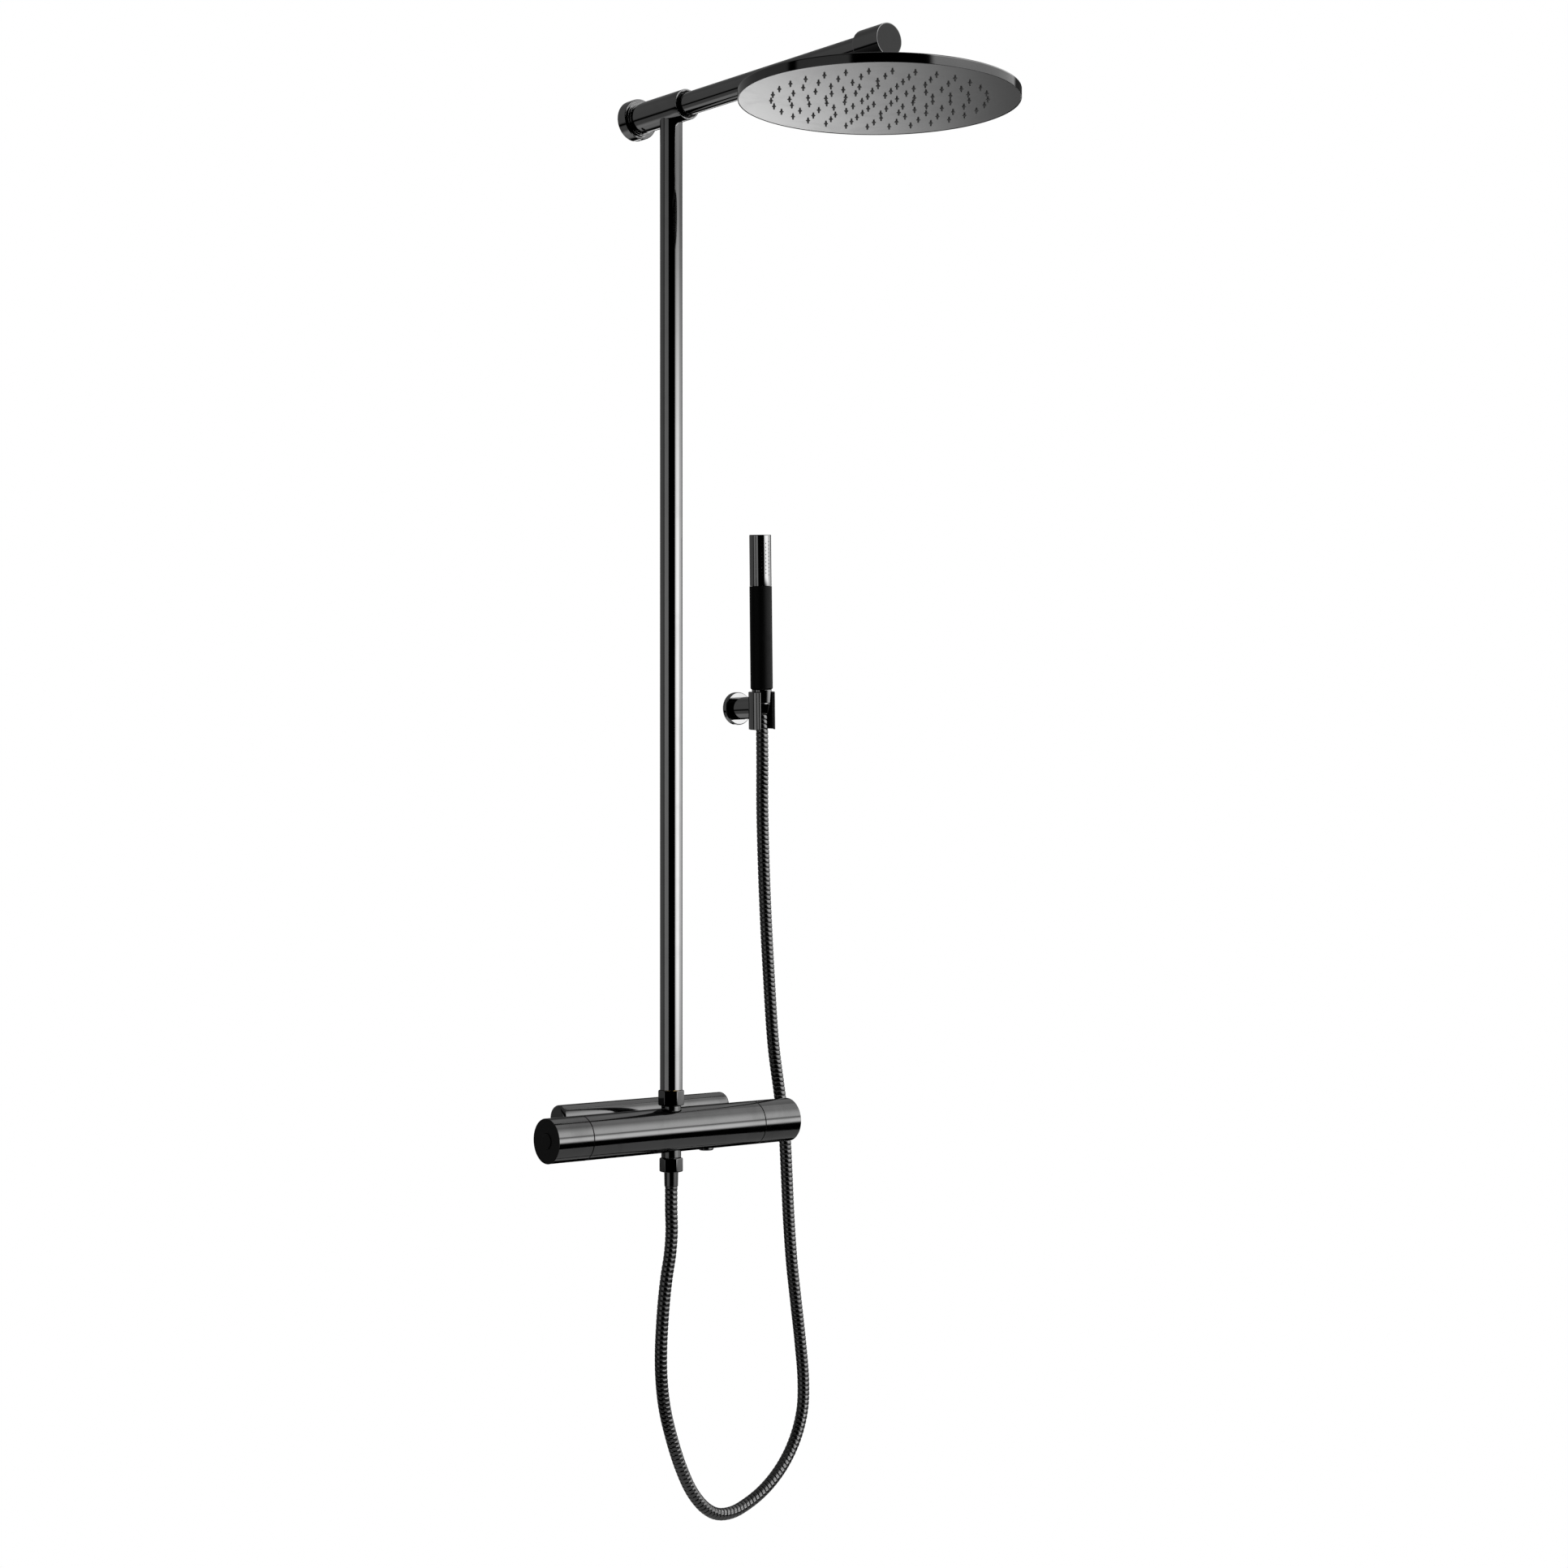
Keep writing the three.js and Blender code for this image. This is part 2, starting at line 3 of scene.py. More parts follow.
import bmesh
import bpy
import numpy as np
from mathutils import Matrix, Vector


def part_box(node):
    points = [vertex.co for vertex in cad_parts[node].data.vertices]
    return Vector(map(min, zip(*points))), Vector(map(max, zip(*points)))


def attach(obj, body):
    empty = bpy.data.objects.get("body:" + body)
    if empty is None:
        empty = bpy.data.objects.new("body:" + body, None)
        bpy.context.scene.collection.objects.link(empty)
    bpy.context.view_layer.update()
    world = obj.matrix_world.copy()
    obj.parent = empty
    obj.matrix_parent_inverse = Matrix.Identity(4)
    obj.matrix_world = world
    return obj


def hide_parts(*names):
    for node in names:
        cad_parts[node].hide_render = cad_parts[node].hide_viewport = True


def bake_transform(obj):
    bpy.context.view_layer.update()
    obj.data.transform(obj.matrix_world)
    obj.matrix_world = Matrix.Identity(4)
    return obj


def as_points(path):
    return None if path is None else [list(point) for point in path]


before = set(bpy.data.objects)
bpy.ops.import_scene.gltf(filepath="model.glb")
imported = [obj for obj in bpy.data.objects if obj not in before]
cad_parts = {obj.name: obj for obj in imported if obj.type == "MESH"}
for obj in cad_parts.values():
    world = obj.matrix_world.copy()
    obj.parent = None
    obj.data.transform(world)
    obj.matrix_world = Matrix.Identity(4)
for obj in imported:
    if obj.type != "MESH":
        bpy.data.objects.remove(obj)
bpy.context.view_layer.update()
mm = 0.001


def centreOf(node, keep=(1, 1, 1)):
    # middle of a CAD node's box, in millimetres; a 0 in keep sets that coordinate to 0
    low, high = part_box(node)
    return (np.array(low) + np.array(high)) / 2 / mm * keep


def spanOf(node, axis):
    # lowest and highest station of a CAD node along one axis, in millimetres
    low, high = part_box(node)
    return low[axis] / mm, high[axis] / mm


print("frame loaded:", len(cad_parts), "nodes")

# shader node groups


def newGroup(name, vector, floats, output):
    # a group with one vector input, float inputs with their defaults, and one float output
    group = bpy.data.node_groups.new(name, "ShaderNodeTree")
    group.interface.new_socket(vector, in_out="INPUT", socket_type="NodeSocketVector")
    for label, value in floats.items():
        socket = group.interface.new_socket(label, in_out="INPUT", socket_type="NodeSocketFloat")
        socket.default_value = value
    group.interface.new_socket(output, in_out="OUTPUT", socket_type="NodeSocketFloat")
    ins = group.nodes.new("NodeGroupInput")
    outs = group.nodes.new("NodeGroupOutput")
    return group, ins.outputs, outs.inputs[output]


def addNode(tree, kind, values=None, **settings):
    node = tree.nodes.new(kind)
    for key, value in settings.items():
        setattr(node, key, value)
    for key, value in (values or {}).items():
        node.inputs[key].default_value = value
    return node


def feed(tree, value, socket):
    # links another socket to this one, or sets it to a plain value
    if isinstance(value, bpy.types.NodeSocket):
        tree.links.new(value, socket)
    else:
        socket.default_value = value


def mathNode(tree, operation, first, second=None):
    # one Math node; an argument is a socket or a plain number
    node = addNode(tree, "ShaderNodeMath", operation=operation)
    feed(tree, first, node.inputs[0])
    if second is not None:
        feed(tree, second, node.inputs[1])
    return node.outputs[0]


def rampNode(tree, value, fromMin, fromMax, toMin, toMax, interpolation="SMOOTHSTEP"):
    # one Map Range node; the four ends are sockets or plain numbers
    node = addNode(tree, "ShaderNodeMapRange", interpolation_type=interpolation)
    tree.links.new(value, node.inputs["Value"])
    ends = {"From Min": fromMin, "From Max": fromMax, "To Min": toMin, "To Max": toMax}
    for label, end in ends.items():
        feed(tree, end, node.inputs[label])
    return node.outputs["Result"]


def noiseNode(tree, vector, scale, **values):
    # the value of one noise texture; the scale is a socket or a plain number
    node = addNode(tree, "ShaderNodeTexNoise", values)
    tree.links.new(vector, node.inputs["Vector"])
    feed(tree, scale, node.inputs["Scale"])
    return node.outputs["Fac"]


def handMarksGroup():
    # wiped-over smudges: warped noise, cut to soft patches from 0 to 1
    group, ins, out = newGroup("handMarks", "Vector", {"Size": 20.0, "Start": 0.45, "End": 0.75}, "Mask")
    broad = noiseNode(group, ins["Vector"], ins["Size"], Detail=4.0, Roughness=0.6, Distortion=1.2)
    group.links.new(rampNode(group, broad, ins["Start"], ins["End"], 0.0, 1.0), out)
    return group


def fineGrainGroup():
    # fine grain of a cast or moulded skin, as a height
    group, ins, out = newGroup("fineGrain", "Vector", {"Size": 900.0}, "Height")
    group.links.new(noiseNode(group, ins["Vector"], ins["Size"], Detail=3.0, Roughness=0.55), out)
    return group


def edgeWearAndHighlightGroup():
    # 1 along outer edges, broken up by noise: how far the rounded normal leaves the true one; the finishes
    #                                          lighten these edges, partly as wear and partly as a painted
    #                                          highlight
    group, ins, out = newGroup("edgeWearAndHighlight", "Vector", {"Width": 0.0006, "Amount": 1.0}, "Mask")
    bevel = addNode(group, "ShaderNodeBevel", samples=4)
    group.links.new(ins["Width"], bevel.inputs["Radius"])
    geometry = addNode(group, "ShaderNodeNewGeometry")
    dot = addNode(group, "ShaderNodeVectorMath", operation="DOT_PRODUCT")
    group.links.new(bevel.outputs["Normal"], dot.inputs[0])
    group.links.new(geometry.outputs["Normal"], dot.inputs[1])
    edge = rampNode(group, dot.outputs["Value"], 0.86, 0.99, 1.0, 0.0)
    noise = noiseNode(group, ins["Vector"], 220.0, Detail=3.0)
    broken = rampNode(group, noise, 0.35, 0.6, 0.25, 1.0)
    wornAndHighlit = mathNode(group, "MULTIPLY", edge, broken)
    group.links.new(mathNode(group, "MULTIPLY", wornAndHighlit, ins["Amount"]), out)
    return group


def settledDustGroup():
    # thin dust and dried water spots, thickest where the surface looks up
    group, ins, out = newGroup("settledDust", "Vector", {"Size": 160.0, "Amount": 0.3}, "Mask")
    geometry = addNode(group, "ShaderNodeNewGeometry")
    split = addNode(group, "ShaderNodeSeparateXYZ")
    group.links.new(geometry.outputs["Normal"], split.inputs[0])
    facing = rampNode(group, split.outputs["Z"], 0.2, 1.0, 0.1, 1.0)
    noise = noiseNode(group, ins["Vector"], ins["Size"], Detail=6.0, Roughness=0.7)
    specks = rampNode(group, noise, 0.5, 0.8, 0.0, 1.0)
    mask = mathNode(group, "MULTIPLY", facing, specks)
    group.links.new(mathNode(group, "MULTIPLY", mask, ins["Amount"]), out)
    return group


groups = {
    "marks": handMarksGroup(),
    "grain": fineGrainGroup(),
    "wearAndHighlight": edgeWearAndHighlightGroup(),
    "dust": settledDustGroup(),
}
print("node groups:", ", ".join(groups))

# materials


def placeGroup(tree, name, vector, **values):
    node = addNode(tree, "ShaderNodeGroup", node_tree=groups[name])
    tree.links.new(vector, node.inputs["Vector"])
    for key, value in values.items():
        node.inputs[key].default_value = value
    return node.outputs[0]


def mixColour(tree, factor, first, second):
    # one Mix node; each end is a colour or a colour socket
    node = addNode(tree, "ShaderNodeMix", data_type="RGBA")
    tree.links.new(factor, node.inputs["Factor"])
    for label, end in (("A", first), ("B", second)):
        socket = next(s for s in node.inputs if s.name == label and s.type == "RGBA")
        feed(tree, end, socket)
    return next(s for s in node.outputs if s.type == "RGBA")


def grey(value, warmth=0.0):
    return (value * (1 + warmth), value, value * (1 - warmth), 1.0)


def shades(clean, marked, dusty, wornAndHighlit):
    # the four greys of a finish; the last one lightens edges, partly as wear and partly as a painted
    # highlight
    values = {"colour": clean, "markColour": marked, "dustColour": dusty, "wearAndHighlightColour": wornAndHighlit}
    return {label: grey(value) for label, value in values.items()}


def makeFinish(name, look):
    # base colour varied by smudges, dust, and edges lightened partly by wear and partly as a painted
    # highlight; roughness and a fine bump follow them
    material = bpy.data.materials.new(name)
    material.use_nodes = True
    tree = material.node_tree
    shader = tree.nodes["Principled BSDF"]
    coords = addNode(tree, "ShaderNodeTexCoord").outputs["Object"]
    marks = placeGroup(tree, "marks", coords, Size=look["markSize"],
                       Start=look["markStart"], End=look["markEnd"])
    dust = placeGroup(tree, "dust", coords, Size=look["dustSize"], Amount=look["dust"])
    wearAndHighlight = placeGroup(tree, "wearAndHighlight", coords, Width=look["wearAndHighlightWidth"], Amount=look["wearAndHighlight"])
    colour = mixColour(tree, marks, look["colour"], look["markColour"])
    colour = mixColour(tree, dust, colour, look["dustColour"])
    # edges lightened: partly worn edges, partly a painted highlight
    colour = mixColour(tree, wearAndHighlight, colour, look["wearAndHighlightColour"])
    tree.links.new(colour, shader.inputs["Base Color"])
    smudged = look["roughness"] + look["markRoughness"]
    rough = rampNode(tree, marks, 0.0, 1.0, look["roughness"], smudged, "LINEAR")
    rough = mathNode(tree, "ADD", rough, mathNode(tree, "MULTIPLY", dust, look["dustRoughness"]))
    tree.links.new(rough, shader.inputs["Roughness"])
    grain = placeGroup(tree, "grain", coords, Size=look["grainSize"])
    bump = addNode(tree, "ShaderNodeBump", {"Strength": look["grain"], "Distance": look["grainDepth"]})
    tree.links.new(grain, bump.inputs["Height"])
    tree.links.new(bump.outputs["Normal"], shader.inputs["Normal"])
    shader.inputs["Metallic"].default_value = look["metallic"]
    shader.inputs["Specular IOR Level"].default_value = look["specular"]
    return material


plainLook = {
    **shades(0.2, 0.21, 0.3, 0.4),
    "markSize": 18.0, "markStart": 0.42, "markEnd": 0.72,
    "dustSize": 160.0, "dust": 0.12, "dustRoughness": 0.3, "wearAndHighlight": 0.3, "wearAndHighlightWidth": 0.0004,
    "roughness": 0.08, "markRoughness": 0.05, "grainSize": 600.0, "grain": 0.03, "grainDepth": 0.0001,
    "metallic": 1.0, "specular": 0.5,
}
finishes = {
    "black_chrome": {
        **shades(0.215, 0.2, 0.26, 0.34),
        "roughness": 0.05, "markRoughness": 0.03,
    },
    "cast_chrome": {
        **shades(0.105, 0.088, 0.14, 0.22),
        "roughness": 0.08, "markRoughness": 0.05, "markSize": 14.0,
    },
    "hose_metal": {
        **shades(0.11, 0.095, 0.13, 0.15),
        "roughness": 0.16, "markRoughness": 0.08, "markSize": 60.0, "wearAndHighlight": 0.12,
    },
    "satin_black": {
        **shades(0.007, 0.006, 0.02, 0.04),
        "roughness": 0.36, "markRoughness": 0.08, "metallic": 0.0, "specular": 0.2,
        "grain": 0.12, "grainSize": 1500.0,
    },
    "satin_grey": {
        **shades(0.08, 0.072, 0.09, 0.11),
        "roughness": 0.4, "markRoughness": 0.08, "metallic": 0.0, "specular": 0.3,
        "grain": 0.12, "grainSize": 1500.0,
    },
    "satin_face": {
        **shades(0.46, 0.43, 0.5, 0.6),
        "roughness": 0.1, "markRoughness": 0.03, "dust": 0.05, "grain": 0.05, "grainSize": 1200.0,
    },
    "rubber": {
        **shades(0.0025, 0.0035, 0.012, 0.01),
        "roughness": 0.4, "markRoughness": 0.1, "metallic": 0.0, "specular": 0.09,
        "grain": 0.2, "grainSize": 1800.0, "dust": 0.2,
    },
    "silicone": {
        **shades(0.34, 0.3, 0.38, 0.4),
        "roughness": 0.5, "markRoughness": 0.1, "metallic": 0.0, "specular": 0.3,
        "grain": 0.15, "grainSize": 1500.0,
    },
    "brass": {
        "colour": (0.62, 0.43, 0.17, 1.0), "markColour": (0.5, 0.34, 0.13, 1.0),
        "dustColour": grey(0.3, 0.1), "wearAndHighlightColour": (0.75, 0.56, 0.26, 1.0), "roughness": 0.28,
        "markRoughness": 0.15, "grain": 0.1,
    },
    "steel": {
        **shades(0.5, 0.43, 0.4, 0.68),
        "roughness": 0.3, "markRoughness": 0.12, "grain": 0.12,
    },
    "black_plastic": {
        **shades(0.014, 0.018, 0.05, 0.04),
        "roughness": 0.45, "markRoughness": 0.12, "metallic": 0.0, "specular": 0.3,
        "grain": 0.2, "grainSize": 1400.0,
    },
    "white_plastic": {
        "colour": grey(0.78, 0.02), "markColour": grey(0.72, 0.03), "dustColour": grey(0.55, 0.05),
        "wearAndHighlightColour": grey(0.85), "roughness": 0.4, "markRoughness": 0.1, "metallic": 0.0,
        "grain": 0.15, "grainSize": 1200.0,
    },
}
materials = {name: makeFinish(name, {**plainLook, **look}) for name, look in finishes.items()}
print("materials:", ", ".join(materials))

# surfaces


def gridFaces(rows, cols, wrapRows, wrapCols):
    # quad (i, j) joins row i to the next row and column j to the next column
    i, j = np.meshgrid(np.arange(rows if wrapRows else rows - 1),
                       np.arange(cols if wrapCols else cols - 1), indexing="ij")
    nextI, nextJ = (i + 1) % rows, (j + 1) % cols
    corners = [i * cols + j, i * cols + nextJ, nextI * cols + nextJ, nextI * cols + j]
    return np.stack(corners, -1).reshape(-1, 4)


def smoothShading(mesh, sharpAngle):
    mesh.polygons.foreach_set("use_smooth", np.ones(len(mesh.polygons), bool))
    mesh.set_sharp_from_angle(angle=math.radians(sharpAngle))


def meshOf(name, grids, sharpAngle=32):
    # grids are (points, wrapRows, wrapCols) in millimetres; doubles are merged and faces turned outwards
    vertices, faces, offset = [], [], 0
    for points, wrapRows, wrapCols in grids:
        rows, cols = points.shape[:2]
        vertices.append(points.reshape(-1, 3) * mm)
        faces.append(gridFaces(rows, cols, wrapRows, wrapCols) + offset)
        offset += rows * cols
    vertices, faces = np.concatenate(vertices), np.concatenate(faces)
    mesh = bpy.data.meshes.new(name)
    mesh.vertices.add(len(vertices))
    mesh.vertices.foreach_set("co", vertices.astype(np.float32).ravel())
    mesh.loops.add(faces.size)
    mesh.loops.foreach_set("vertex_index", faces.astype(np.int32).ravel())
    mesh.polygons.add(len(faces))
    mesh.polygons.foreach_set("loop_start", np.arange(0, faces.size, 4, dtype=np.int32))
    mesh.update(calc_edges=True)
    shape = bmesh.new()
    shape.from_mesh(mesh)
    bmesh.ops.remove_doubles(shape, verts=shape.verts, dist=2e-6)
    bmesh.ops.dissolve_degenerate(shape, edges=shape.edges, dist=1e-7)
    bmesh.ops.recalc_face_normals(shape, faces=shape.faces)
    shape.to_mesh(mesh)
    shape.free()
    smoothShading(mesh, sharpAngle)
    return mesh


recordSlots = {"cast_chrome": "black_chrome", "satin_grey": "satin_black"}  # finishes paired with another finish; a piece's pair is looked up and not used


def addPiece(name, mesh, body, finish, replaced=()):
    # one visible piece: its mesh, its finish, the body it rides on and the CAD nodes it stands for
    piece = bpy.data.objects.new(name, mesh)
    bpy.context.scene.collection.objects.link(piece)
    mesh.materials.append(materials[finish])
    recordSlots.get(finish, finish)
    if body:
        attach(piece, body)
    if replaced:
        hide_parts(*replaced)
    return piece


def rounded(corners, loop=False, arcSteps=7):
    # corners are (radius, station, fillet); each fillet is an arc tangent to both of its sides,
    # with one more point just beyond each end so that the straight stretches shade flat
    points = [np.array(c[:2], float) for c in corners]
    fillets = [c[2] if len(c) > 2 else 0.0 for c in corners]
    outline = []
    for k, (point, fillet) in enumerate(zip(points, fillets)):
        atEnd = not loop and k in (0, len(points) - 1)
        if fillet <= 0 or atEnd:
            outline.append(point)
            continue
        before, after = points[k - 1] - point, points[(k + 1) % len(points)] - point
        reach = [np.linalg.norm(before), np.linalg.norm(after)]
        before, after = before / reach[0], after / reach[1]
        half = math.acos(np.clip(before @ after, -1, 1)) / 2
        length = min(fillet / math.tan(half), 0.45 * min(reach))
        fillet = length * math.tan(half)
        centre = point + (before + after) / np.linalg.norm(before + after) * fillet / math.sin(half)
        start, end = point + before * length - centre, point + after * length - centre
        sweep = math.acos(np.clip(start @ end / fillet ** 2, -1, 1))
        t = np.linspace(0, 1, arcSteps)[:, None]
        arc = (np.sin((1 - t) * sweep) * start + np.sin(t * sweep) * end) / math.sin(sweep) + centre
        extra = [min(0.5 * fillet, 0.2 * (r - length)) for r in reach]
        outline.append(arc[0] + before * extra[0])
        outline.extend(arc)
        outline.append(arc[-1] + after * extra[1])
    return np.array(outline)


axes = {
    "x": np.array([[0, 1, 0], [0, 0, 1], [1, 0, 0]], float),
    "y": np.array([[0, 0, 1], [1, 0, 0], [0, 1, 0]], float),
    "z": np.array([[1, 0, 0], [0, 1, 0], [0, 0, 1]], float),
}


def spokes(angles, basis):
    # cos a e1 + sin a e2 for each angle a
    return np.cos(angles)[:, None] * basis[0] + np.sin(angles)[:, None] * basis[1]


def revolve(profile, origin, basis, angles):
    # point = origin + r (cos a e1 + sin a e2) + s e3 for each profile point (r, s) and angle a
    radius, station = profile[:, 0, None, None], profile[:, 1, None, None]
    return np.asarray(origin, float) + radius * spokes(angles, basis) + station * basis[2]


def around(sides):
    return np.linspace(0, 2 * math.pi, sides, endpoint=False)


def turned(corners, origin, axis, sides=128, loop=False):
    # a turned piece: the rounded profile revolved about an axis
    basis = axes[axis] if isinstance(axis, str) else axis
    return revolve(rounded(corners, loop), origin, basis, around(sides)), loop, True


def pipe(bore, radius, ends, edge):
    # outline of a straight wall from bore to radius between two stations, its outer edges rounded
    low, high = ends
    return [(bore, low), (radius, low, edge), (radius, high, edge), (bore, high)]


def turnedPiece(name, corners, origin, axis, body, finish, replaced=(), **options):
    # a piece that is one turned shape
    return addPiece(name, meshOf(name, [turned(corners, origin, axis, **options)]), body, finish, replaced)


def hexagonal(flats, corner, stations, bores, chamfer, origin, axis, turn=20.0, sides=540):
    # hexagon radius = (flats/2) / (sum of |cos(a - face)|^p)^(1/p), which rounds its corners,
    # held below a cone at each end: r = cone radius + distance from the end * slope
    low, high = stations
    slope, sharpness, blend = 1.75, 40.0, 24.0
    angles = around(sides)
    facing = np.radians(turn + 30 + 60 * np.arange(3))
    hexRadius = flats / 2 / (np.abs(np.cos(angles[:, None] - facing)) ** sharpness).sum(1) ** (1 / sharpness)
    depth = (1 - np.cos(np.linspace(0, math.pi / 2, 14))) * chamfer
    station = np.concatenate([low + depth, high - depth[::-1]])
    room = np.minimum(station - low, high - station)[:, None]
    cone = flats / 2 + corner + slope * room
    wall = (hexRadius ** -blend + cone ** -blend) ** (-1 / blend)
    rows = [np.full(sides, bores[0])[None], wall, np.full(sides, bores[1])[None]]
    radius = np.concatenate(rows)
    station = np.concatenate([[low], station, [high]])
    basis = axes[axis]
    across = radius[..., None] * spokes(angles, basis)
    return np.asarray(origin, float) + across + station[:, None, None] * basis[2], True, True


def denser(start, end, step, zones):
    # stations from start to end at a coarse step, with finer steps inside each (low, high, step) zone
    parts = [np.arange(start, end, step), [end]]
    parts += [np.arange(low, high + fineStep / 2, fineStep) for low, high, fineStep in zones]
    stations = np.unique(np.concatenate(parts).round(4))
    return stations[(stations >= start) & (stations <= end)]


def closerRound(angle, half, step):
    # angles of one turn, 2.5 degrees apart, with a finer step up to half to each side of one angle
    return denser(0, 2 * math.pi, math.radians(2.5), [(angle - half, angle + half, step)])[:-1]


def refined(profile, radius, step, zone):
    # a profile with more stations along its straight wall
    wide = np.where(profile[:, 0] > radius - 1e-4)[0]
    extra = denser(profile[wide[0], 1], profile[wide[-1], 1], step, [zone])[1:-1]
    straight = np.stack([np.full(len(extra), radius), extra], 1)
    return np.concatenate([profile[:wide[0] + 1], straight, profile[wide[-1]:]])


holeStep = 0.16  # width of the step at a small hole's edge, and the spacing of the stations there


def dimpled(profile, origin, basis, angles, holes, radius):
    # a revolved profile whose straight wall is pushed towards the axis inside each round hole
    # (angle, station, hole radius, depth): push = depth * (3 e^2 - 2 e^3), e from 0 to 1 over the step
    points = revolve(profile, origin, basis, angles)
    shaped = points.copy()
    for angle, station, holeRadius, depth in holes:
        across = (np.mod(angles - angle + math.pi, 2 * math.pi) - math.pi) * radius
        away = np.hypot(across[None, :], profile[:, 1, None] - station)
        edge = np.clip((holeRadius - away) / holeStep + 0.5, 0, 1)
        push = depth * edge * edge * (3 - 2 * edge)
        shaped -= push[..., None] * spokes(angles, basis)
    onWall = (profile[:, 0] > radius - 1e-4)[:, None, None]
    return np.where(onWall, shaped, points)


column = centreOf("riser_pipe", (1, 1, 0))  # foot of the column's axis, level with the mixer

# wall side of the mixer
coverShape = {"halfLength": 121.0, "radius": 15.5, "out": 15.8, "top": 16.5, "bottom": -13.5, "fillet": 4.2,
              "openHalf": 107.0, "openHeight": 14.25, "recess": 6.0}


def wallCover():
    # stadium section: a centre line from bottom to top with a circle of the inset radius swept round it
    s = coverShape
    quarter = np.radians(np.linspace(0, 90, 19))
    flatZ = denser(s["bottom"], s["top"], 5.0, [])
    flatZ = np.unique(np.concatenate([flatZ, [s["openHeight"]]]))
    lowArc = np.arcsin((s["openHeight"] + s["bottom"]) / s["radius"])
    # section angle 0 looks away from the wall; (unit y, unit z, centre z)
    upper = [(-math.cos(a), math.sin(a), s["top"]) for a in quarter]
    upper += [(math.cos(a), math.sin(a), s["top"]) for a in quarter[::-1]]
    back = [(1.0, 0.0, z) for z in flatZ[::-1][1:-1]]
    lowerAngles = np.unique(np.concatenate([quarter, [lowArc]]))
    lower = [(math.cos(a), -math.sin(a), s["bottom"]) for a in lowerAngles]
    lower += [(-math.cos(a), -math.sin(a), s["bottom"]) for a in quarter[::-1]]
    front = [(-1.0, 0.0, z) for z in flatZ[1:-1]]
    section = np.array(upper + back + lower + front)
    turn = np.radians(np.linspace(90, 0, 9))
    inset = np.concatenate([[s["radius"]], s["fillet"] * (1 - np.cos(turn)), [0.0]])
    station = np.concatenate([[0.0], s["fillet"] * (1 - np.sin(turn)), [2 * s["fillet"]]])
    inner = np.array([s["halfLength"] - s["openHalf"], s["halfLength"]])
    station = np.concatenate([station, inner])
    inset = np.concatenate([inset, [0.0, 0.0]])
    x = np.concatenate([-s["halfLength"] + station, (s["halfLength"] - station)[::-1][1:]])
    inset = np.concatenate([inset, inset[::-1][1:]])
    reach = (s["radius"] - inset)[:, None]
    points = np.stack(np.broadcast_arrays(
        x[:, None], -s["out"] + reach * section[:, 0], section[:, 2] + reach * section[:, 1]), -1)
    mesh = meshOf("wallCover", [(points, False, True)])
    shape = bmesh.new()
    shape.from_mesh(mesh)
    opening = [f for f in shape.faces
               if f.calc_center_median().y > -0.4 * mm
               and abs(f.calc_center_median().x) < s["openHalf"] * mm
               and abs(f.calc_center_median().z) < s["openHeight"] * mm]
    bmesh.ops.delete(shape, geom=opening, context="FACES")
    rim = [e for e in shape.edges if e.is_boundary]
    walls = bmesh.ops.extrude_edge_only(shape, edges=rim)
    moved = [v for v in walls["geom"] if isinstance(v, bmesh.types.BMVert)]
    for v in moved:
        v.co.y -= s["recess"] * mm
    floorEdges = [e for e in walls["geom"] if isinstance(e, bmesh.types.BMEdge)]
    bmesh.ops.contextual_create(shape, geom=floorEdges)
    bmesh.ops.recalc_face_normals(shape, faces=shape.faces)
    shape.to_mesh(mesh)
    shape.free()
    smoothShading(mesh, 32)
    addPiece("mixerWallCover", mesh, "column", "cast_chrome", ["wall_cover"])


wallCover()

inlets = {"tube": 11.0, "bore": 7.0, "end": -44.2, "flats": 29.0, "nut": (-43.8, -34.0), "nutBore": 11.4}
inletFeet = {side: centreOf(f"inlet_union_{side}", (1, 0, 0)) for side in ("left", "right")}
for side, foot in inletFeet.items():
    tubeCorners = pipe(inlets["bore"], inlets["tube"], (inlets["end"], 0.0), 0.4)
    addPiece(f"inletTube_{side}", meshOf("inletTube", [turned(tubeCorners, foot, "y", loop=True)]),
             "column", "brass", [f"inlet_union_{side}"])
    nut = hexagonal(inlets["flats"], 0.4, inlets["nut"], (inlets["nutBore"],) * 2, 1.6, foot, "y")
    addPiece(f"inletNut_{side}", meshOf("inletNut", [nut]), "column", "cast_chrome", [f"union_nut_{side}"])
print("wall side of the mixer done")

# mixer, handles and end caps
mixer = {"radius": 25.6, "bore": 20.4, "edge": 0.35, "neck": 11.5, "spigot": 9.2, "neckEdge": 0.7,
         "boss": 12.5, "bossFace": -44.5, "seam": 0.8}
mixer["left"], mixer["right"] = spanOf("mixer_body", 0)
mixer["bottom"], mixer["top"] = spanOf("mixer_body", 2)
neckTop, neckBottom = 28.4, -31.8


def mixerBody():
    shell = pipe(mixer["bore"], mixer["radius"], (mixer["left"], mixer["right"]), mixer["edge"])
    grids = [turned(shell, column, "x", 192, loop=True)]
    for face, end in ((neckTop, mixer["top"]), (neckBottom, mixer["bottom"])):
        inside = math.copysign(5.0, face)
        neck = [(0, inside), (mixer["neck"], inside), (mixer["neck"], face, mixer["neckEdge"]),
                (mixer["spigot"], face), (mixer["spigot"], end, 0.3), (0, end)]
        grids.append(turned(neck, column, "z"))
    for foot in inletFeet.values():
        boss = [(0, column[1]), (mixer["boss"], column[1]), (mixer["boss"], mixer["bossFace"], 0.8),
                (0, mixer["bossFace"])]
        grids.append(turned(boss, foot, "y"))
    addPiece("mixerCasting", meshOf("mixerCasting", grids), "column", "cast_chrome", ["mixer_body"])


mixerBody()

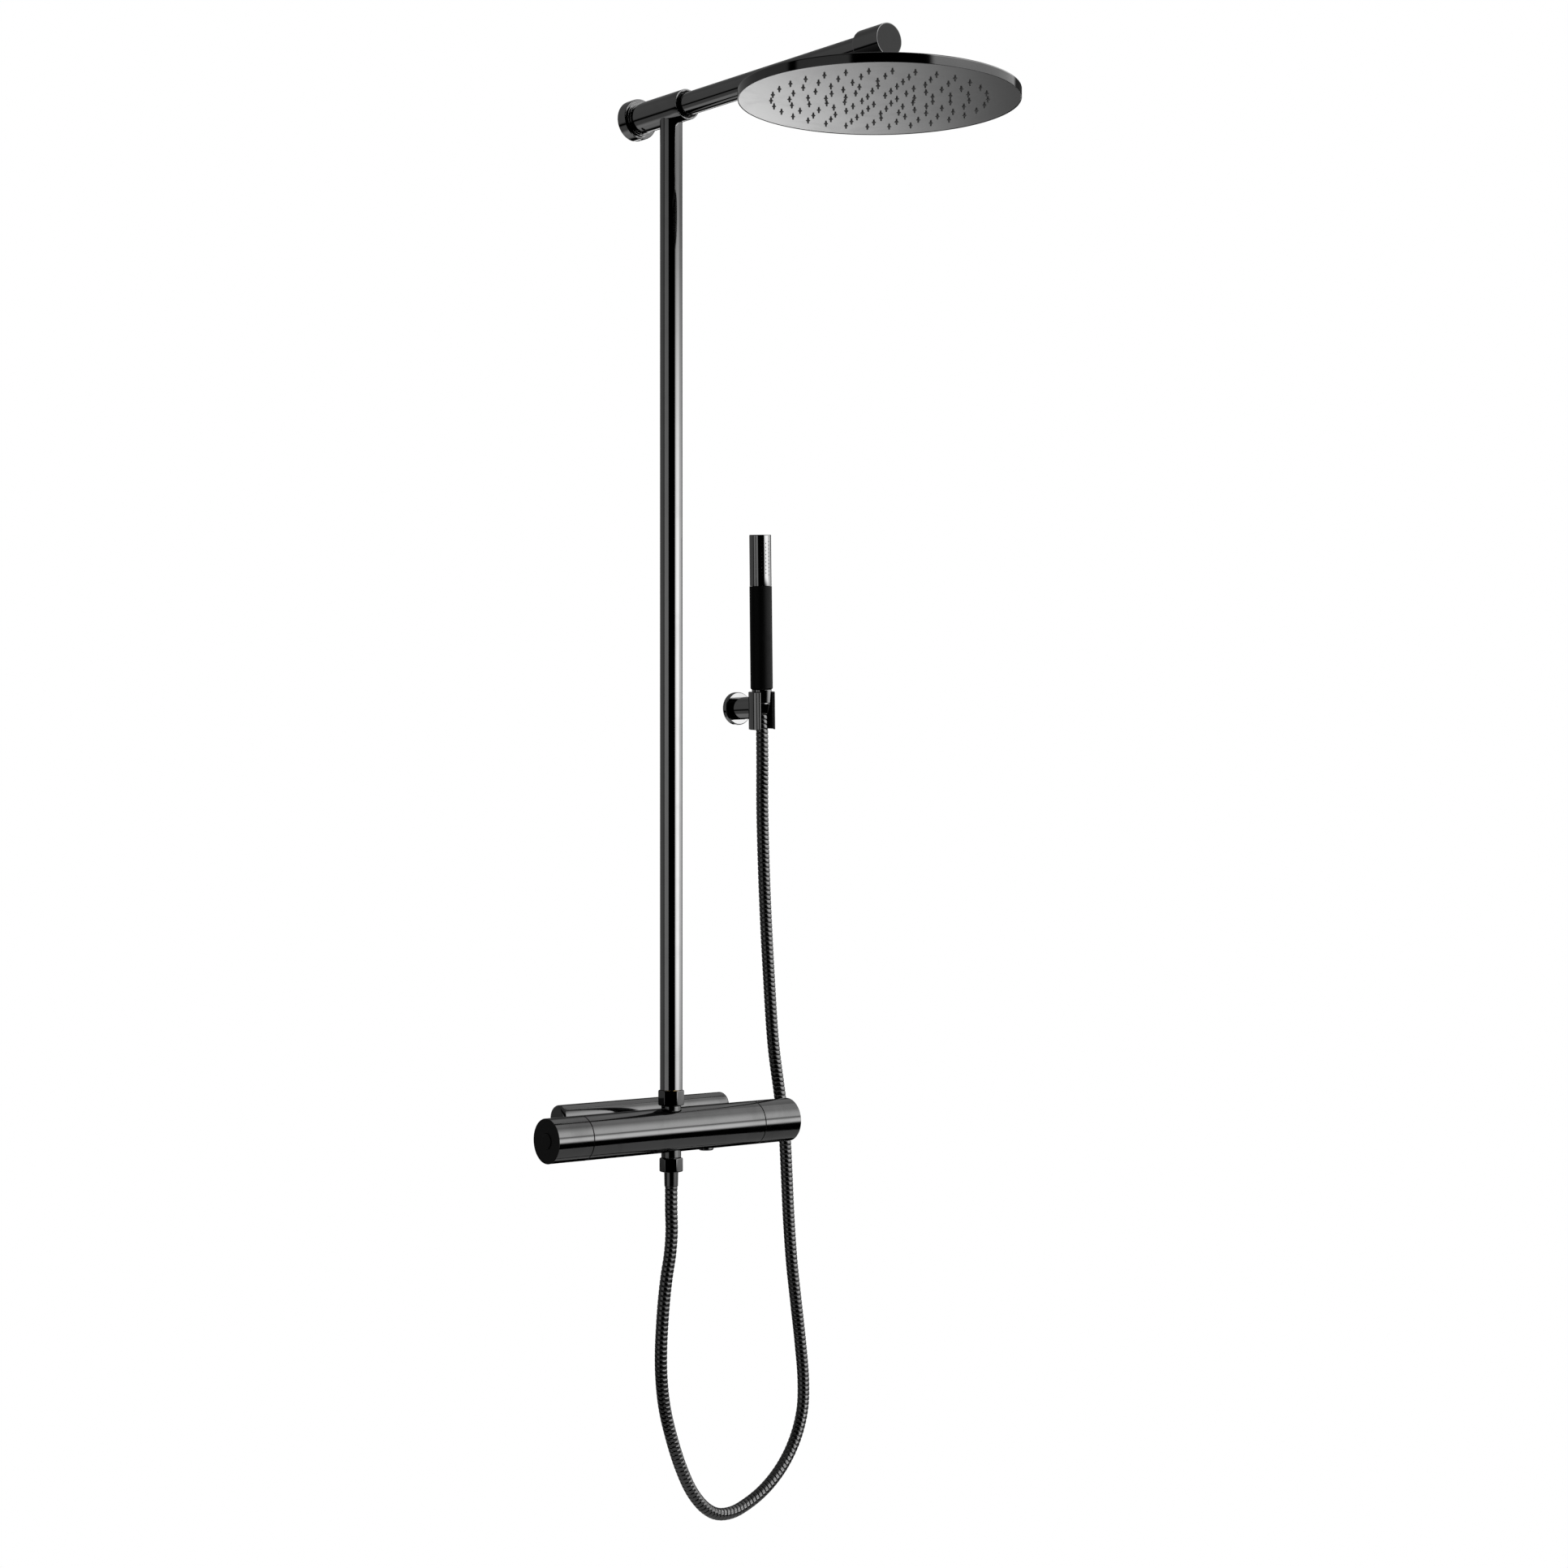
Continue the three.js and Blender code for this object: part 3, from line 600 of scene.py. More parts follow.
plug = {"radius": 9.0, "foot": -27.2, "dome": 1.2}
plugCorners = [(0, plug["foot"]), (plug["radius"] - 1.2, plug["foot"], plug["dome"]),
               (plug["radius"], plug["foot"] + plug["dome"], 0.5), (plug["radius"], -20), (0, -20)]
plugFoot = centreOf("strainer_plug", (1, 1, 0))
turnedPiece("strainerPlug", plugCorners, plugFoot, "z", "column", "cast_chrome", ["strainer_plug"])

handle = {"bore": 22.8, "rim": 25.0, "edge": 0.45, "ledge": 3.5, "cap": 24.7, "capThick": 3.0,
          "capInset": 0.2, "capEdge": 0.35}


def handleShell(name, body, near, end, replaced):
    towards = math.copysign(1, near - end)
    ledge = end + towards * handle["ledge"]
    shell = [(handle["bore"], near), (mixer["radius"], near, handle["edge"]),
             (mixer["radius"], end, handle["edge"]), (handle["rim"], end, 0.12), (handle["rim"], ledge),
             (handle["bore"], ledge)]
    turnedPiece(name, shell, column, "x", body, "cast_chrome", replaced, sides=192, loop=True)


def endCap(name, body, end, bore, replaced):
    towards = -math.copysign(1, end)
    front = end + towards * handle["capInset"]
    back = front + towards * handle["capThick"]
    corners = [(bore, back), (handle["cap"], back), (handle["cap"], front, handle["capEdge"]),
               (bore, front, 0.3 if bore else 0.0)]
    turnedPiece(name, corners, column, "x", body, "satin_black", replaced, sides=160, loop=bore > 0)


leftEnd = spanOf("temperature_handle", 0)[0]
rightEnd = spanOf("flow_handle", 0)[1]
button = {"radius": 8.75, "proud": 0.8, "edge": 0.9, "gap": 0.3}
handleShell("temperatureHandle", "temperature_knob", mixer["left"] - mixer["seam"], leftEnd,
            ["temperature_handle"])
handleShell("flowHandle", "flow_knob", mixer["right"] + mixer["seam"], rightEnd, ["flow_handle"])
endCap("temperatureEndCap", "temperature_knob", leftEnd, button["radius"] + button["gap"],
       ["temperature_end_cap"])
endCap("flowEndCap", "flow_knob", rightEnd, 0.0, ["flow_end_cap"])
buttonFace = leftEnd - button["proud"]
buttonBack = spanOf("safety_button", 0)[1]
buttonCorners = [(0, buttonFace), (button["radius"], buttonFace, button["edge"]),
                 (button["radius"], leftEnd + 3.5), (10.6, leftEnd + 3.5), (10.6, leftEnd + 5.1),
                 (7.9, leftEnd + 5.1), (7.9, buttonBack), (0, buttonBack)]
turnedPiece("stopButton", buttonCorners, column, "x", "button", "satin_black", ["safety_button"],
            sides=96)
print("mixer done")

# riser
riser = {"radius": 13.0, "bore": 11.4, "flats": 26.5, "nut": (28.7, 46.3), "nutBore": 11.5}
riserCorners = pipe(riser["bore"], riser["radius"], spanOf("riser_pipe", 2), 0.3)
turnedPiece("riserTube", riserCorners, column, "z", "column", "black_chrome", ["riser_pipe"],
            sides=160, loop=True)
riserNut = hexagonal(riser["flats"], 0.9, riser["nut"], (9.5, riser["nutBore"]), 1.5, column, "z")
addPiece("riserHexNut", meshOf("riserHexNut", [riserNut]), "column", "cast_chrome", ["riser_nut"])

# tee, wall flange and arm
armZ = centreOf("arm_pipe")[2]
armFoot = np.array([0, 0, armZ])
tee = {"radius": 17.5, "recess": 15.7, "recessDepth": 2.6, "edge": 0.6}
tee["front"], tee["back"] = spanOf("tee_body", 1)
grub = {"tilt": 64.0, "hole": 2.35, "depth": 3.2, "room": 3.2, "halfAngle": 0.19, "angleStep": 0.0092}
grub["y"] = centreOf("tee_grub_screw")[1]


def teeBody():
    # a tube along Y with a round dimple for its grub screw, on stations drawn closer round the dimple
    recessFloor = tee["front"] + tee["recessDepth"]
    corners = [(0, recessFloor), (tee["recess"], recessFloor), (tee["recess"], tee["front"], 0.25),
               (tee["radius"], tee["front"], tee["edge"]), (tee["radius"], tee["back"], tee["edge"]),
               (0, tee["back"])]
    zone = (grub["y"] - grub["room"], grub["y"] + grub["room"], holeStep)
    profile = refined(rounded(corners), tee["radius"], 8.0, zone)
    # the basis for Y is e1 = +Z, e2 = +X: the screw looks down and left
    holeAngle = math.radians(180 + 90 - grub["tilt"])
    angles = closerRound(holeAngle, grub["halfAngle"], grub["angleStep"])
    holes = [(holeAngle, grub["y"], grub["hole"], grub["depth"])]
    points = dimpled(profile, armFoot, axes["y"], angles, holes, tee["radius"])
    mesh = meshOf("teeBody", [(points, False, True)])
    addPiece("teeFitting", mesh, "column", "black_chrome", ["tee_body"])


teeBody()
sealCorners = [(13.3, tee["front"] + 2.3), (15.3, tee["front"] + 2.3), (15.3, tee["front"] + 0.6, 0.5),
               (13.3, tee["front"] + 0.6, 0.3)]
turnedPiece("teeSealRing", sealCorners, armFoot, "y", "column", "rubber", ["tee_seal"], loop=True)

flangeCorners = [(9.3, -18.4), (18.6, -18.4, 0.3), (18.6, -17), (20.4, -17, 0.3), (20.4, -14.8),
                 (22.6, -14.8, 0.25), (23.4, -14, 0.25), (23.4, 0, 0.3), (9.3, 0)]
turnedPiece("armWallFlange", flangeCorners, armFoot, "y", "column", "black_chrome", ["wall_flange"],
            sides=160, loop=True)
anchorCorners = pipe(0, 9.0, spanOf("wall_anchor", 1), 0.5)
turnedPiece("armWallAnchor", anchorCorners, armFoot, "y", "column", "brass", ["wall_anchor"], sides=72)

armFar, armNear = spanOf("arm_pipe", 1)
armCorners = pipe(riser["bore"], riser["radius"], (armFar, armNear), 0.3)
turnedPiece("armTube", armCorners, armFoot, "y", "column", "black_chrome", ["arm_pipe"],
            sides=160, loop=True)

fitting = {"radius": 17.7, "edge": 0.4, "shoulder": 4.4, "bore": 13.3}
fittingFront, fittingBack = spanOf("arm_end_fitting", 1)
fittingCorners = [(0, fittingFront + 0.15), (fitting["radius"], fittingFront + 0.15, fitting["edge"]),
                  (fitting["radius"], fittingBack, fitting["shoulder"]), (fitting["bore"], fittingBack, 0.1),
                  (fitting["bore"], armFar - 2), (0, armFar - 2)]
turnedPiece("armEndFitting", fittingCorners, armFoot, "y", "column", "black_chrome",
            ["arm_end_fitting"], sides=160)
armDisc = {"radius": 16.9, "thick": 1}
discBack = fittingFront + armDisc["thick"]
armDiscCorners = [(0, fittingFront), (armDisc["radius"], fittingFront, 0.3),
                  (armDisc["radius"], discBack, 0.1), (0, discBack)]
turnedPiece("armEndDisc", armDiscCorners, armFoot, "y", "column", "satin_black", sides=160)
print("riser and arm done")

# rain head
head = {"radius": 150.0, "face": 148.9, "lip": 149.2, "topEdge": 1.2, "bottomEdge": 0.4, "ball": 11.0,
        "ballZ": 1144.0}
headCentre = centreOf("head_faceplate", (1, 1, 0))
head["bottom"], head["boss"] = spanOf("head_body", 2)
faceLow, faceHigh = spanOf("head_faceplate", 2)
rimTop = head["bottom"] + 10.4

ballAngles = np.radians(np.linspace(-70.9, 47, 40))
ball = [(head["ball"] * math.cos(a), head["ballZ"] + head["ball"] * math.sin(a)) for a in ballAngles]
studCorners = [(0, ball[0][1]), *ball, (7.5, 1157, 0.4), (12.5, 1157, 0.5), (12.5, 1162.5, 0.5),
               (8, 1162.5), (8, 1171), (0, 1171)]
turnedPiece("ballStud", studCorners, headCentre, "z", "head_stud", "black_chrome", ["ball_stud"],
            sides=96)

seat = head["ball"] + 0.4
seatAngles = np.radians(np.linspace(28.8, 0, 8))
seatArc = [(seat * math.cos(a), head["ballZ"] + seat * math.sin(a)) for a in seatAngles]
nutCorners = [(12.2, 1131.5), (16.5, 1131.5, 0.4), (16.5, 1149.5, 0.9), *seatArc, (12.2, 1143)]
turnedPiece("ballSocketRing", nutCorners, headCentre, "z", "rain_head", "black_chrome",
            ["ball_socket_nut"], loop=True)

headCorners = [(8, head["boss"]), (17, head["boss"], 0.4), (21, head["boss"] - 0.8, 0.4),
               (head["radius"], rimTop, head["topEdge"]),
               (head["radius"], head["bottom"], head["bottomEdge"]),
               (head["lip"], head["bottom"], 0.2), (head["lip"], head["bottom"] + 5.2), (20, 1128.0),
               (8, 1128.2)]
turnedPiece("headShell", headCorners, headCentre, "z", "rain_head", "cast_chrome", ["head_body"],
            sides=360, loop=True)
faceCorners = [(0, faceLow), (head["face"], faceLow, 0.3), (head["face"], faceHigh), (0, faceHigh)]
turnedPiece("headFace", faceCorners, headCentre, "z", "rain_head", "satin_face", ["head_faceplate"],
            sides=360)

nozzleRings = [(6, 18.8), (12, 37.5), (18, 57), (18, 76), (24, 95), (30, 114.5)]
nozzle = {"base": 2.35, "neck": 1.15, "tip": 0.95, "hole": 0.45, "length": 2.8, "sides": 14, "spoke": 7}


def nozzles():
    # each nozzle is one small turned cup: base collar, tapering wall, rounded tip and a shallow bore;
    # every ring starts on the same spoke
    n = nozzle
    tipZ = head["bottom"] - n["length"]
    cup = np.array([
        (n["base"], faceLow + 0.2), (n["base"], faceLow - 0.25), (n["base"] - 0.35, faceLow - 0.45),
        (n["neck"], faceLow - 0.9), (n["tip"], tipZ + 0.25), (n["tip"] - 0.2, tipZ), (n["hole"], tipZ),
        (n["hole"], tipZ + 0.8), (0.0, tipZ + 0.8),
    ])
    shape = revolve(cup, (0, 0, 0), axes["z"], around(n["sides"]))
    grids = []
    for count, radius in nozzleRings:
        for a in around(count) + math.radians(n["spoke"]):
            place = headCentre + np.array([radius * math.cos(a), radius * math.sin(a), 0])
            grids.append((shape + place, False, True))
    mesh = meshOf("nozzles", grids, sharpAngle=50)
    addPiece("rubberNozzles", mesh, "rain_head", "silicone", ["nozzle_mat"])


nozzles()
print("rain head done")

# handset holder
holder = {"neck": 13.6, "neckStart": -7.2, "clipRadius": 14.7, "grubY": -18.0, "grubHole": 2.3,
          "grubDepth": 5.0, "grubRoom": 3.1, "halfAngle": 0.24, "angleStep": 0.011, "neckEnd": -30.0}
holderFoot = centreOf("holder_rosette", (1, 0, 1))
rosetteCorners = [(5.3, -7), (18.9, -7, 0.6), (19.75, -6.1, 0.4), (19.75, 0, 0.3), (5.3, 0)]
turnedPiece("holderRosette", rosetteCorners, holderFoot, "y", "column", "black_chrome",
            ["holder_rosette"], sides=160, loop=True)
studProfile = pipe(0, 5.0, spanOf("holder_stud", 1), 0.3)
turnedPiece("holderWallStud", studProfile, holderFoot, "y", "column", "brass", ["holder_stud"], sides=48)

clip = {"out": 50.5, "z": 489.5, "outer": 16.0, "inner": 13.5, "half": 22.5, "slotHalf": 45.0,
        "lean": 4.0, "fillet": 0.7, "linerOuter": 13.2, "linerInner": 12.1, "linerHalf": 21.5}
clipCentre = np.array([holderFoot[0], -clip["out"], clip["z"]])
leanSlope = math.tan(math.radians(clip["lean"]))
lean = np.array([-leanSlope, -leanSlope, 1.0])
lean /= np.linalg.norm(lean)
outwards = np.array([0, -1.0, 0]) - (np.array([0, -1.0, 0]) @ lean) * lean
outwards /= np.linalg.norm(outwards)
clipBasis = np.array([outwards, np.cross(lean, outwards), lean])  # angle 0 looks out of the slot


def holderNeck():
    # a tube along Y whose far end follows the clip's round wall: y = clip axis + sqrt(wall^2 - x^2)
    h = holder
    holeAngle = math.pi  # straight down in the basis for Y
    angles = closerRound(holeAngle, h["halfAngle"], h["angleStep"])
    zone = (h["grubY"] - h["grubRoom"], h["grubY"] + h["grubRoom"], holeStep)
    stations = denser(h["neckEnd"], h["neckStart"], 4.0, [zone])[::-1]
    tube = np.stack([np.full(len(stations), h["neck"]), stations], 1)
    rim = np.array([[0.0, h["neckStart"]], [h["neck"] - 0.4, h["neckStart"]]])
    holes = [(holeAngle, h["grubY"], h["grubHole"], h["grubDepth"])]
    points = dimpled(np.concatenate([rim, tube]), holderFoot, axes["y"], angles, holes, h["neck"])
    radii = np.linspace(1, 0, 12)[:, None] * h["neck"]
    saddleX = radii * np.sin(angles)
    saddle = np.stack([holderFoot[0] + saddleX,
                       -clip["out"] + np.sqrt(h["clipRadius"] ** 2 - saddleX ** 2),
                       holderFoot[2] + radii * np.cos(angles)], -1)
    return np.concatenate([points, saddle]), False, True


def bentBar(outer, inner, half, slotHalf, fillet):
    # a rounded rectangle (wall thickness by height) carried round the axis from one slot edge to the other,
    # inset at both ends so that those edges are rounded too
    wide, middle = (outer - inner) / 2, (outer + inner) / 2
    fillet = min(fillet, wide * 0.9)
    turn = np.radians(np.linspace(0, 90, 7))
    corner = [(wide, half, 0.0), (-wide, half, 90.0), (-wide, -half, 180.0), (wide, -half, 270.0)]
    ends = np.concatenate([[wide], fillet * (1 - np.cos(turn[::-1]))])
    endDistance = np.concatenate([[0.0], fillet * (1 - np.sin(turn[::-1]))])
    slot = math.radians(slotHalf)
    middleAngles = np.linspace(slot + fillet / middle * 1.4, 2 * math.pi - slot - fillet / middle * 1.4, 110)
    angles = np.concatenate([slot + endDistance / middle, middleAngles,
                             (2 * math.pi - slot - endDistance / middle)[::-1]])
    inset = np.concatenate([ends, np.zeros(len(middleAngles)), ends[::-1]])
    columns = []
    for x, y, start in corner:
        a = np.radians(start) + turn
        bend = np.clip(fillet - inset, 1e-5, None)[:, None]
        cx = math.copysign(1, x) * np.clip(abs(x) - inset[:, None] - bend, 0, None)
        cy = math.copysign(1, y) * (abs(y) - inset[:, None] - bend)
        columns.append(np.stack([middle + cx + bend * np.cos(a), cy + bend * np.sin(a)], -1))
        nextY = y if start in (0.0, 180.0) else -y
        if start in (90.0, 270.0):  # support points along the tall sides
            for share in (0.03, 0.97):
                yy = y + (nextY - y) * share
                side = np.stack([middle + math.copysign(1, x) * np.clip(wide - inset, 0, None),
                                 np.full(len(inset), yy)], -1)
                columns.append(side[:, None, :])
    section = np.concatenate(columns, 1)
    across = section[..., 0, None] * spokes(angles, clipBasis)[:, None, :]
    return clipCentre + across + section[..., 1, None] * clipBasis[2], False, True


clipGrid = bentBar(clip["outer"], clip["inner"], clip["half"], clip["slotHalf"], clip["fillet"])
addPiece("holderClip", meshOf("holderClip", [holderNeck(), clipGrid]),
         "column", "black_chrome", ["handset_holder"])
linerGrid = bentBar(clip["linerOuter"], clip["linerInner"], clip["linerHalf"], clip["slotHalf"], 0.3)
addPiece("clipLining", meshOf("clipLining", [linerGrid]), "column", "black_plastic", ["clip_liner"])
print("handset holder done")

# handset
tubeCorners = [(0, 4.6), (8.9, 4.6), (8.9, 9.4), (10.9, 9.4, 0.4), (11.9, 25.2, 0.2), (0, 25.2)]
turnedPiece("handsetNeck", tubeCorners, clipCentre, clipBasis, "handset", "black_chrome",
            ["handset_tube"])
gripCorners = [(9.7, 25.5), (12.2, 25.5, 0.3), (13.4, 26.9, 0.5), (13.4, 148.6, 0.35), (9.7, 148.6)]
turnedPiece("rubberGrip", gripCorners, clipCentre, clipBasis, "handset", "rubber", ["grip_sleeve"],
            loop=True)

spray = {"radius": 13.0, "foot": 148.9, "top": 209.8, "edge": 1.0, "pitch": 4.38, "hole": 0.55, "depth": 0.9,
         "columns": ((-31.0, 10), (-10.0, 9), (10.0, 10), (31.0, 9)), "middle": 181.9}


def spraySleeve():
    # a closed tube with four staggered columns of small round dimples looking out of the slot
    s = spray
    profile = rounded([(0, s["foot"]), (s["radius"], s["foot"], 0.3), (s["radius"], s["top"], s["edge"]),
                       (0, s["top"])])
    reach = 5 * s["pitch"]
    profile = refined(profile, s["radius"], 6.0, (s["middle"] - reach, s["middle"] + reach, holeStep))
    angles = denser(-math.pi, math.pi, math.radians(3), [(-0.62, 0.62, 0.0125)])[:-1]
    holes = []
    for angle, count in s["columns"]:
        for i in range(count):
            station = s["middle"] + (i - (count - 1) / 2) * s["pitch"]
            holes.append((math.radians(angle), station, s["hole"], s["depth"]))
    points = dimpled(profile, clipCentre, clipBasis, angles, holes, s["radius"])
    mesh = meshOf("spraySleeve", [(points, False, True)])
    addPiece("spraySleeveShell", mesh, "handset", "black_chrome", ["spray_sleeve"])


spraySleeve()

# hose and its nuts
coneCorners = [(7, -3.2), (8.4, -3.2, 0.5), (11, 8.7, 0.35), (9.2, 8.7), (9.2, 0.5), (7, 0.5)]
coneNut = turnedPiece("hoseConeNut", coneCorners, clipCentre, clipBasis, "hose_end", "black_chrome",
                      ["hose_cone_nut"], loop=True)
hoseNutGrid = hexagonal(24.0, 0.8, (-48.0, -32.2), (8.3, 9.5), 1.5, column, "z")
hoseNut = addPiece("hoseHexNut", meshOf("hoseHexNut", [hoseNutGrid]), "column", "cast_chrome", ["hose_nut"])
ferruleCorners = [(4.5, -65), (7.9, -65, 0.5), (8.2, -47), (4.5, -47)]
ferrule = turnedPiece("hoseSleeve", ferruleCorners, column, "z", "column", "cast_chrome",
                      ["hose_ferrule"], sides=96, loop=True)

hose = {"radius": 7.3, "groove": 0.95, "ripple": 0.045, "pitch": 5.6, "perPitch": 13, "around": 26,
        "stiffness": "medium"}
hoseRoute = [
    (0, -73, -65.3), (0, -73, -92), (1, -72.5, -118), (-1, -72, -144), (-5, -71, -169),
    (-8, -70, -195), (-10, -69, -224), (-11, -68, -254), (-9, -66, -286), (-2, -63, -323),
    (10, -61, -361), (26, -58, -398), (45, -55, -430), (66, -53, -452), (87, -50, -463),
    (110, -48, -465), (134, -45, -460), (160, -43, -449), (185, -40, -433), (206, -37, -413),
    (222, -35, -388), (232, -33, -360), (235, -31, -327), (232, -29, -281), (226, -28, -232),
    (220, -27, -182), (216, -26, -128), (213.5, -25, -72), (210, -25, -22), (202, -25, 28),
    (192, -26, 84), (182, -29, 172), (172.5, -33, 270), (163.5, -39.5, 370), (158, -46.2, 430),
]
hoseEnds = (-32, -16, -3.5)  # last stations, along the clip's leaning axis


def smoothRoute(points, perSpan=60):
    # centripetal Catmull-Rom: the knots are spaced by the square root of the distance between points
    points = np.asarray(points, float)
    whole = np.concatenate([[2 * points[0] - points[1]], points, [2 * points[-1] - points[-2]]])
    p0, p1, p2, p3 = whole[:-3], whole[1:-2], whole[2:-1], whole[3:]
    knots = np.sqrt(np.linalg.norm(np.diff(whole, axis=0), axis=1))
    k0, k1, k2 = knots[:-2, None], knots[1:-1, None], knots[2:, None]
    startSlope = k1 * ((p1 - p0) / k0 - (p2 - p0) / (k0 + k1) + (p2 - p1) / k1)
    endSlope = k1 * ((p2 - p1) / k1 - (p3 - p1) / (k1 + k2) + (p3 - p2) / k2)
    t = np.linspace(0, 1, perSpan, endpoint=False)[:, None, None]
    curve = (p1 + startSlope * t + (-3 * p1 + 3 * p2 - 2 * startSlope - endSlope) * t ** 2
             + (2 * p1 - 2 * p2 + startSlope + endSlope) * t ** 3)
    return np.concatenate([curve.transpose(1, 0, 2).reshape(-1, 3), points[-1:]])


def evenSteps(curve, step):
    # the same curve again with points an even distance apart
    travelled = np.concatenate([[0], np.cumsum(np.linalg.norm(np.diff(curve, axis=0), axis=1))])
    stations = np.linspace(0, travelled[-1], int(round(travelled[-1] / step)) + 1)
    return np.stack([np.interp(stations, travelled, curve[:, k]) for k in range(3)], 1), stations


def hosePiece():
    # radius = outer radius - groove * |2p - 1|^6 - ripple * cos(6 pi p)^2, where p climbs once per pitch
    # and once per turn, so that the crests run round as one folded spiral strip
    h = hose
    route = hoseRoute + [tuple(clipCentre + s * lean) for s in hoseEnds]
    centre, station = evenSteps(smoothRoute(route), h["pitch"] / h["perPitch"])
    tangent = np.gradient(centre, axis=0)
    tangent /= np.linalg.norm(tangent, axis=1, keepdims=True)
    side = np.cross(tangent, [0.0, 1.0, 0.0])
    side /= np.linalg.norm(side, axis=1, keepdims=True)
    front = np.cross(tangent, side)
    angles = around(h["around"])
    phase = np.mod(station[:, None] / h["pitch"] + angles / (2 * math.pi), 1)
    radius = h["radius"] - h["groove"] * np.abs(2 * phase - 1) ** 6
    radius -= h["ripple"] * np.cos(3 * math.pi * phase) ** 2
    points = centre[:, None] + radius[..., None] * (
        np.cos(angles)[None, :, None] * side[:, None] + np.sin(angles)[None, :, None] * front[:, None])
    ends = [np.repeat(c[None, None], h["around"], 1) for c in (centre[0], centre[-1])]
    points = np.concatenate([ends[0], points, ends[1]])
    piece = addPiece("spiralHose", meshOf("spiralHose", [(points, False, True)], sharpAngle=60),
                     None, "hose_metal", ["hose"])
    bendStart = Vector(hoseRoute[-5]) * mm
    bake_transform(piece)
    path = centre[::8] * mm
    tuple(np.array(hoseRoute[0]) * mm)
    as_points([tuple(p) for p in path] + [tuple(centre[-1] * mm)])
    return station[-1]


hoseLength = hosePiece()
print("hose done, length", round(float(hoseLength)), "mm")

# CAD nodes that stay
stayingNodes = {
    "brass": ["thermostat_cartridge", "thermostat_spindle", "diverter_cartridge", "diverter_spindle",
              "riser_tail", "handset_ferrule"],
    "steel": ["wall_plate", "plate_screw_1", "plate_screw_2", "temperature_handle_screw",
              "flow_handle_screw", "button_spring", "tee_grub_screw", "holder_grub_screw"],
    "white_plastic": ["check_valve_left", "check_valve_right", "flow_restrictor"],
    "rubber": ["riser_seal", "ball_seal", "hose_washer", "handset_washer"],
    "silicone": ["jet_insert"],
}
for finish, names in stayingNodes.items():
    for name in names:
        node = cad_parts[name]
        node.data.materials.clear()
        node.data.materials.append(materials[finish])
print("finishes put on the nodes that stay")

# floor, light and camera
studio = {"floorZ": -1.12, "floorHalf": 0.95, "floorX": 0.35, "floorY": -0.5,
          "floorGrey": 0.72, "floorRoughness": 0.7}


def floorPiece():
    mesh = bpy.data.meshes.new("floor")
    half, x, y, z = (studio[key] for key in ("floorHalf", "floorX", "floorY", "floorZ"))
    corners = [(x + i * half, y + j * half, z) for i, j in ((-1, -1), (1, -1), (1, 1), (-1, 1))]
    mesh.from_pydata(corners, [], [(0, 1, 2, 3)])
    floor = bpy.data.objects.new("floor", mesh)
    bpy.context.scene.collection.objects.link(floor)
    material = bpy.data.materials.new("paleFloor")
    material.use_nodes = True
    shader = material.node_tree.nodes["Principled BSDF"]
    shader.inputs["Base Color"].default_value = grey(studio["floorGrey"])
    shader.inputs["Roughness"].default_value = studio["floorRoughness"]
    mesh.materials.append(material)


floorPiece()


softboxLabels = ("Azimuth", "Half Width", "Side Edge", "Low", "Low Edge", "High", "High Edge", "Strength")


def softboxGroup():
    # 1 inside a window of directions with soft sides: azimuth about a centre, elevation between two heights
    group, ins, out = newGroup("softbox", "Direction", dict.fromkeys(softboxLabels, 0.0), "Value")
    split = addNode(group, "ShaderNodeSeparateXYZ")
    group.links.new(ins["Direction"], split.inputs[0])
    azimuth = mathNode(group, "ARCTAN2", split.outputs["Y"], split.outputs["X"])
    away = mathNode(group, "SUBTRACT", azimuth, ins["Azimuth"])
    wrap = addNode(group, "ShaderNodeMath", {1: math.pi, 2: -math.pi}, operation="WRAP")
    group.links.new(away, wrap.inputs[0])
    away = mathNode(group, "ABSOLUTE", wrap.outputs[0])
    sideEnd = mathNode(group, "ADD", ins["Half Width"], ins["Side Edge"])
    sides = rampNode(group, away, ins["Half Width"], sideEnd, 1.0, 0.0)
    height = mathNode(group, "ARCSINE", split.outputs["Z"])
    lowEnd = mathNode(group, "ADD", ins["Low"], ins["Low Edge"])
    low = rampNode(group, height, ins["Low"], lowEnd, 0.0, 1.0)
    highEnd = mathNode(group, "ADD", ins["High"], ins["High Edge"])
    high = rampNode(group, height, ins["High"], highEnd, 1.0, 0.0)
    value = mathNode(group, "MULTIPLY", sides, mathNode(group, "MULTIPLY", low, high))
    group.links.new(mathNode(group, "MULTIPLY", value, ins["Strength"]), out)
    return group


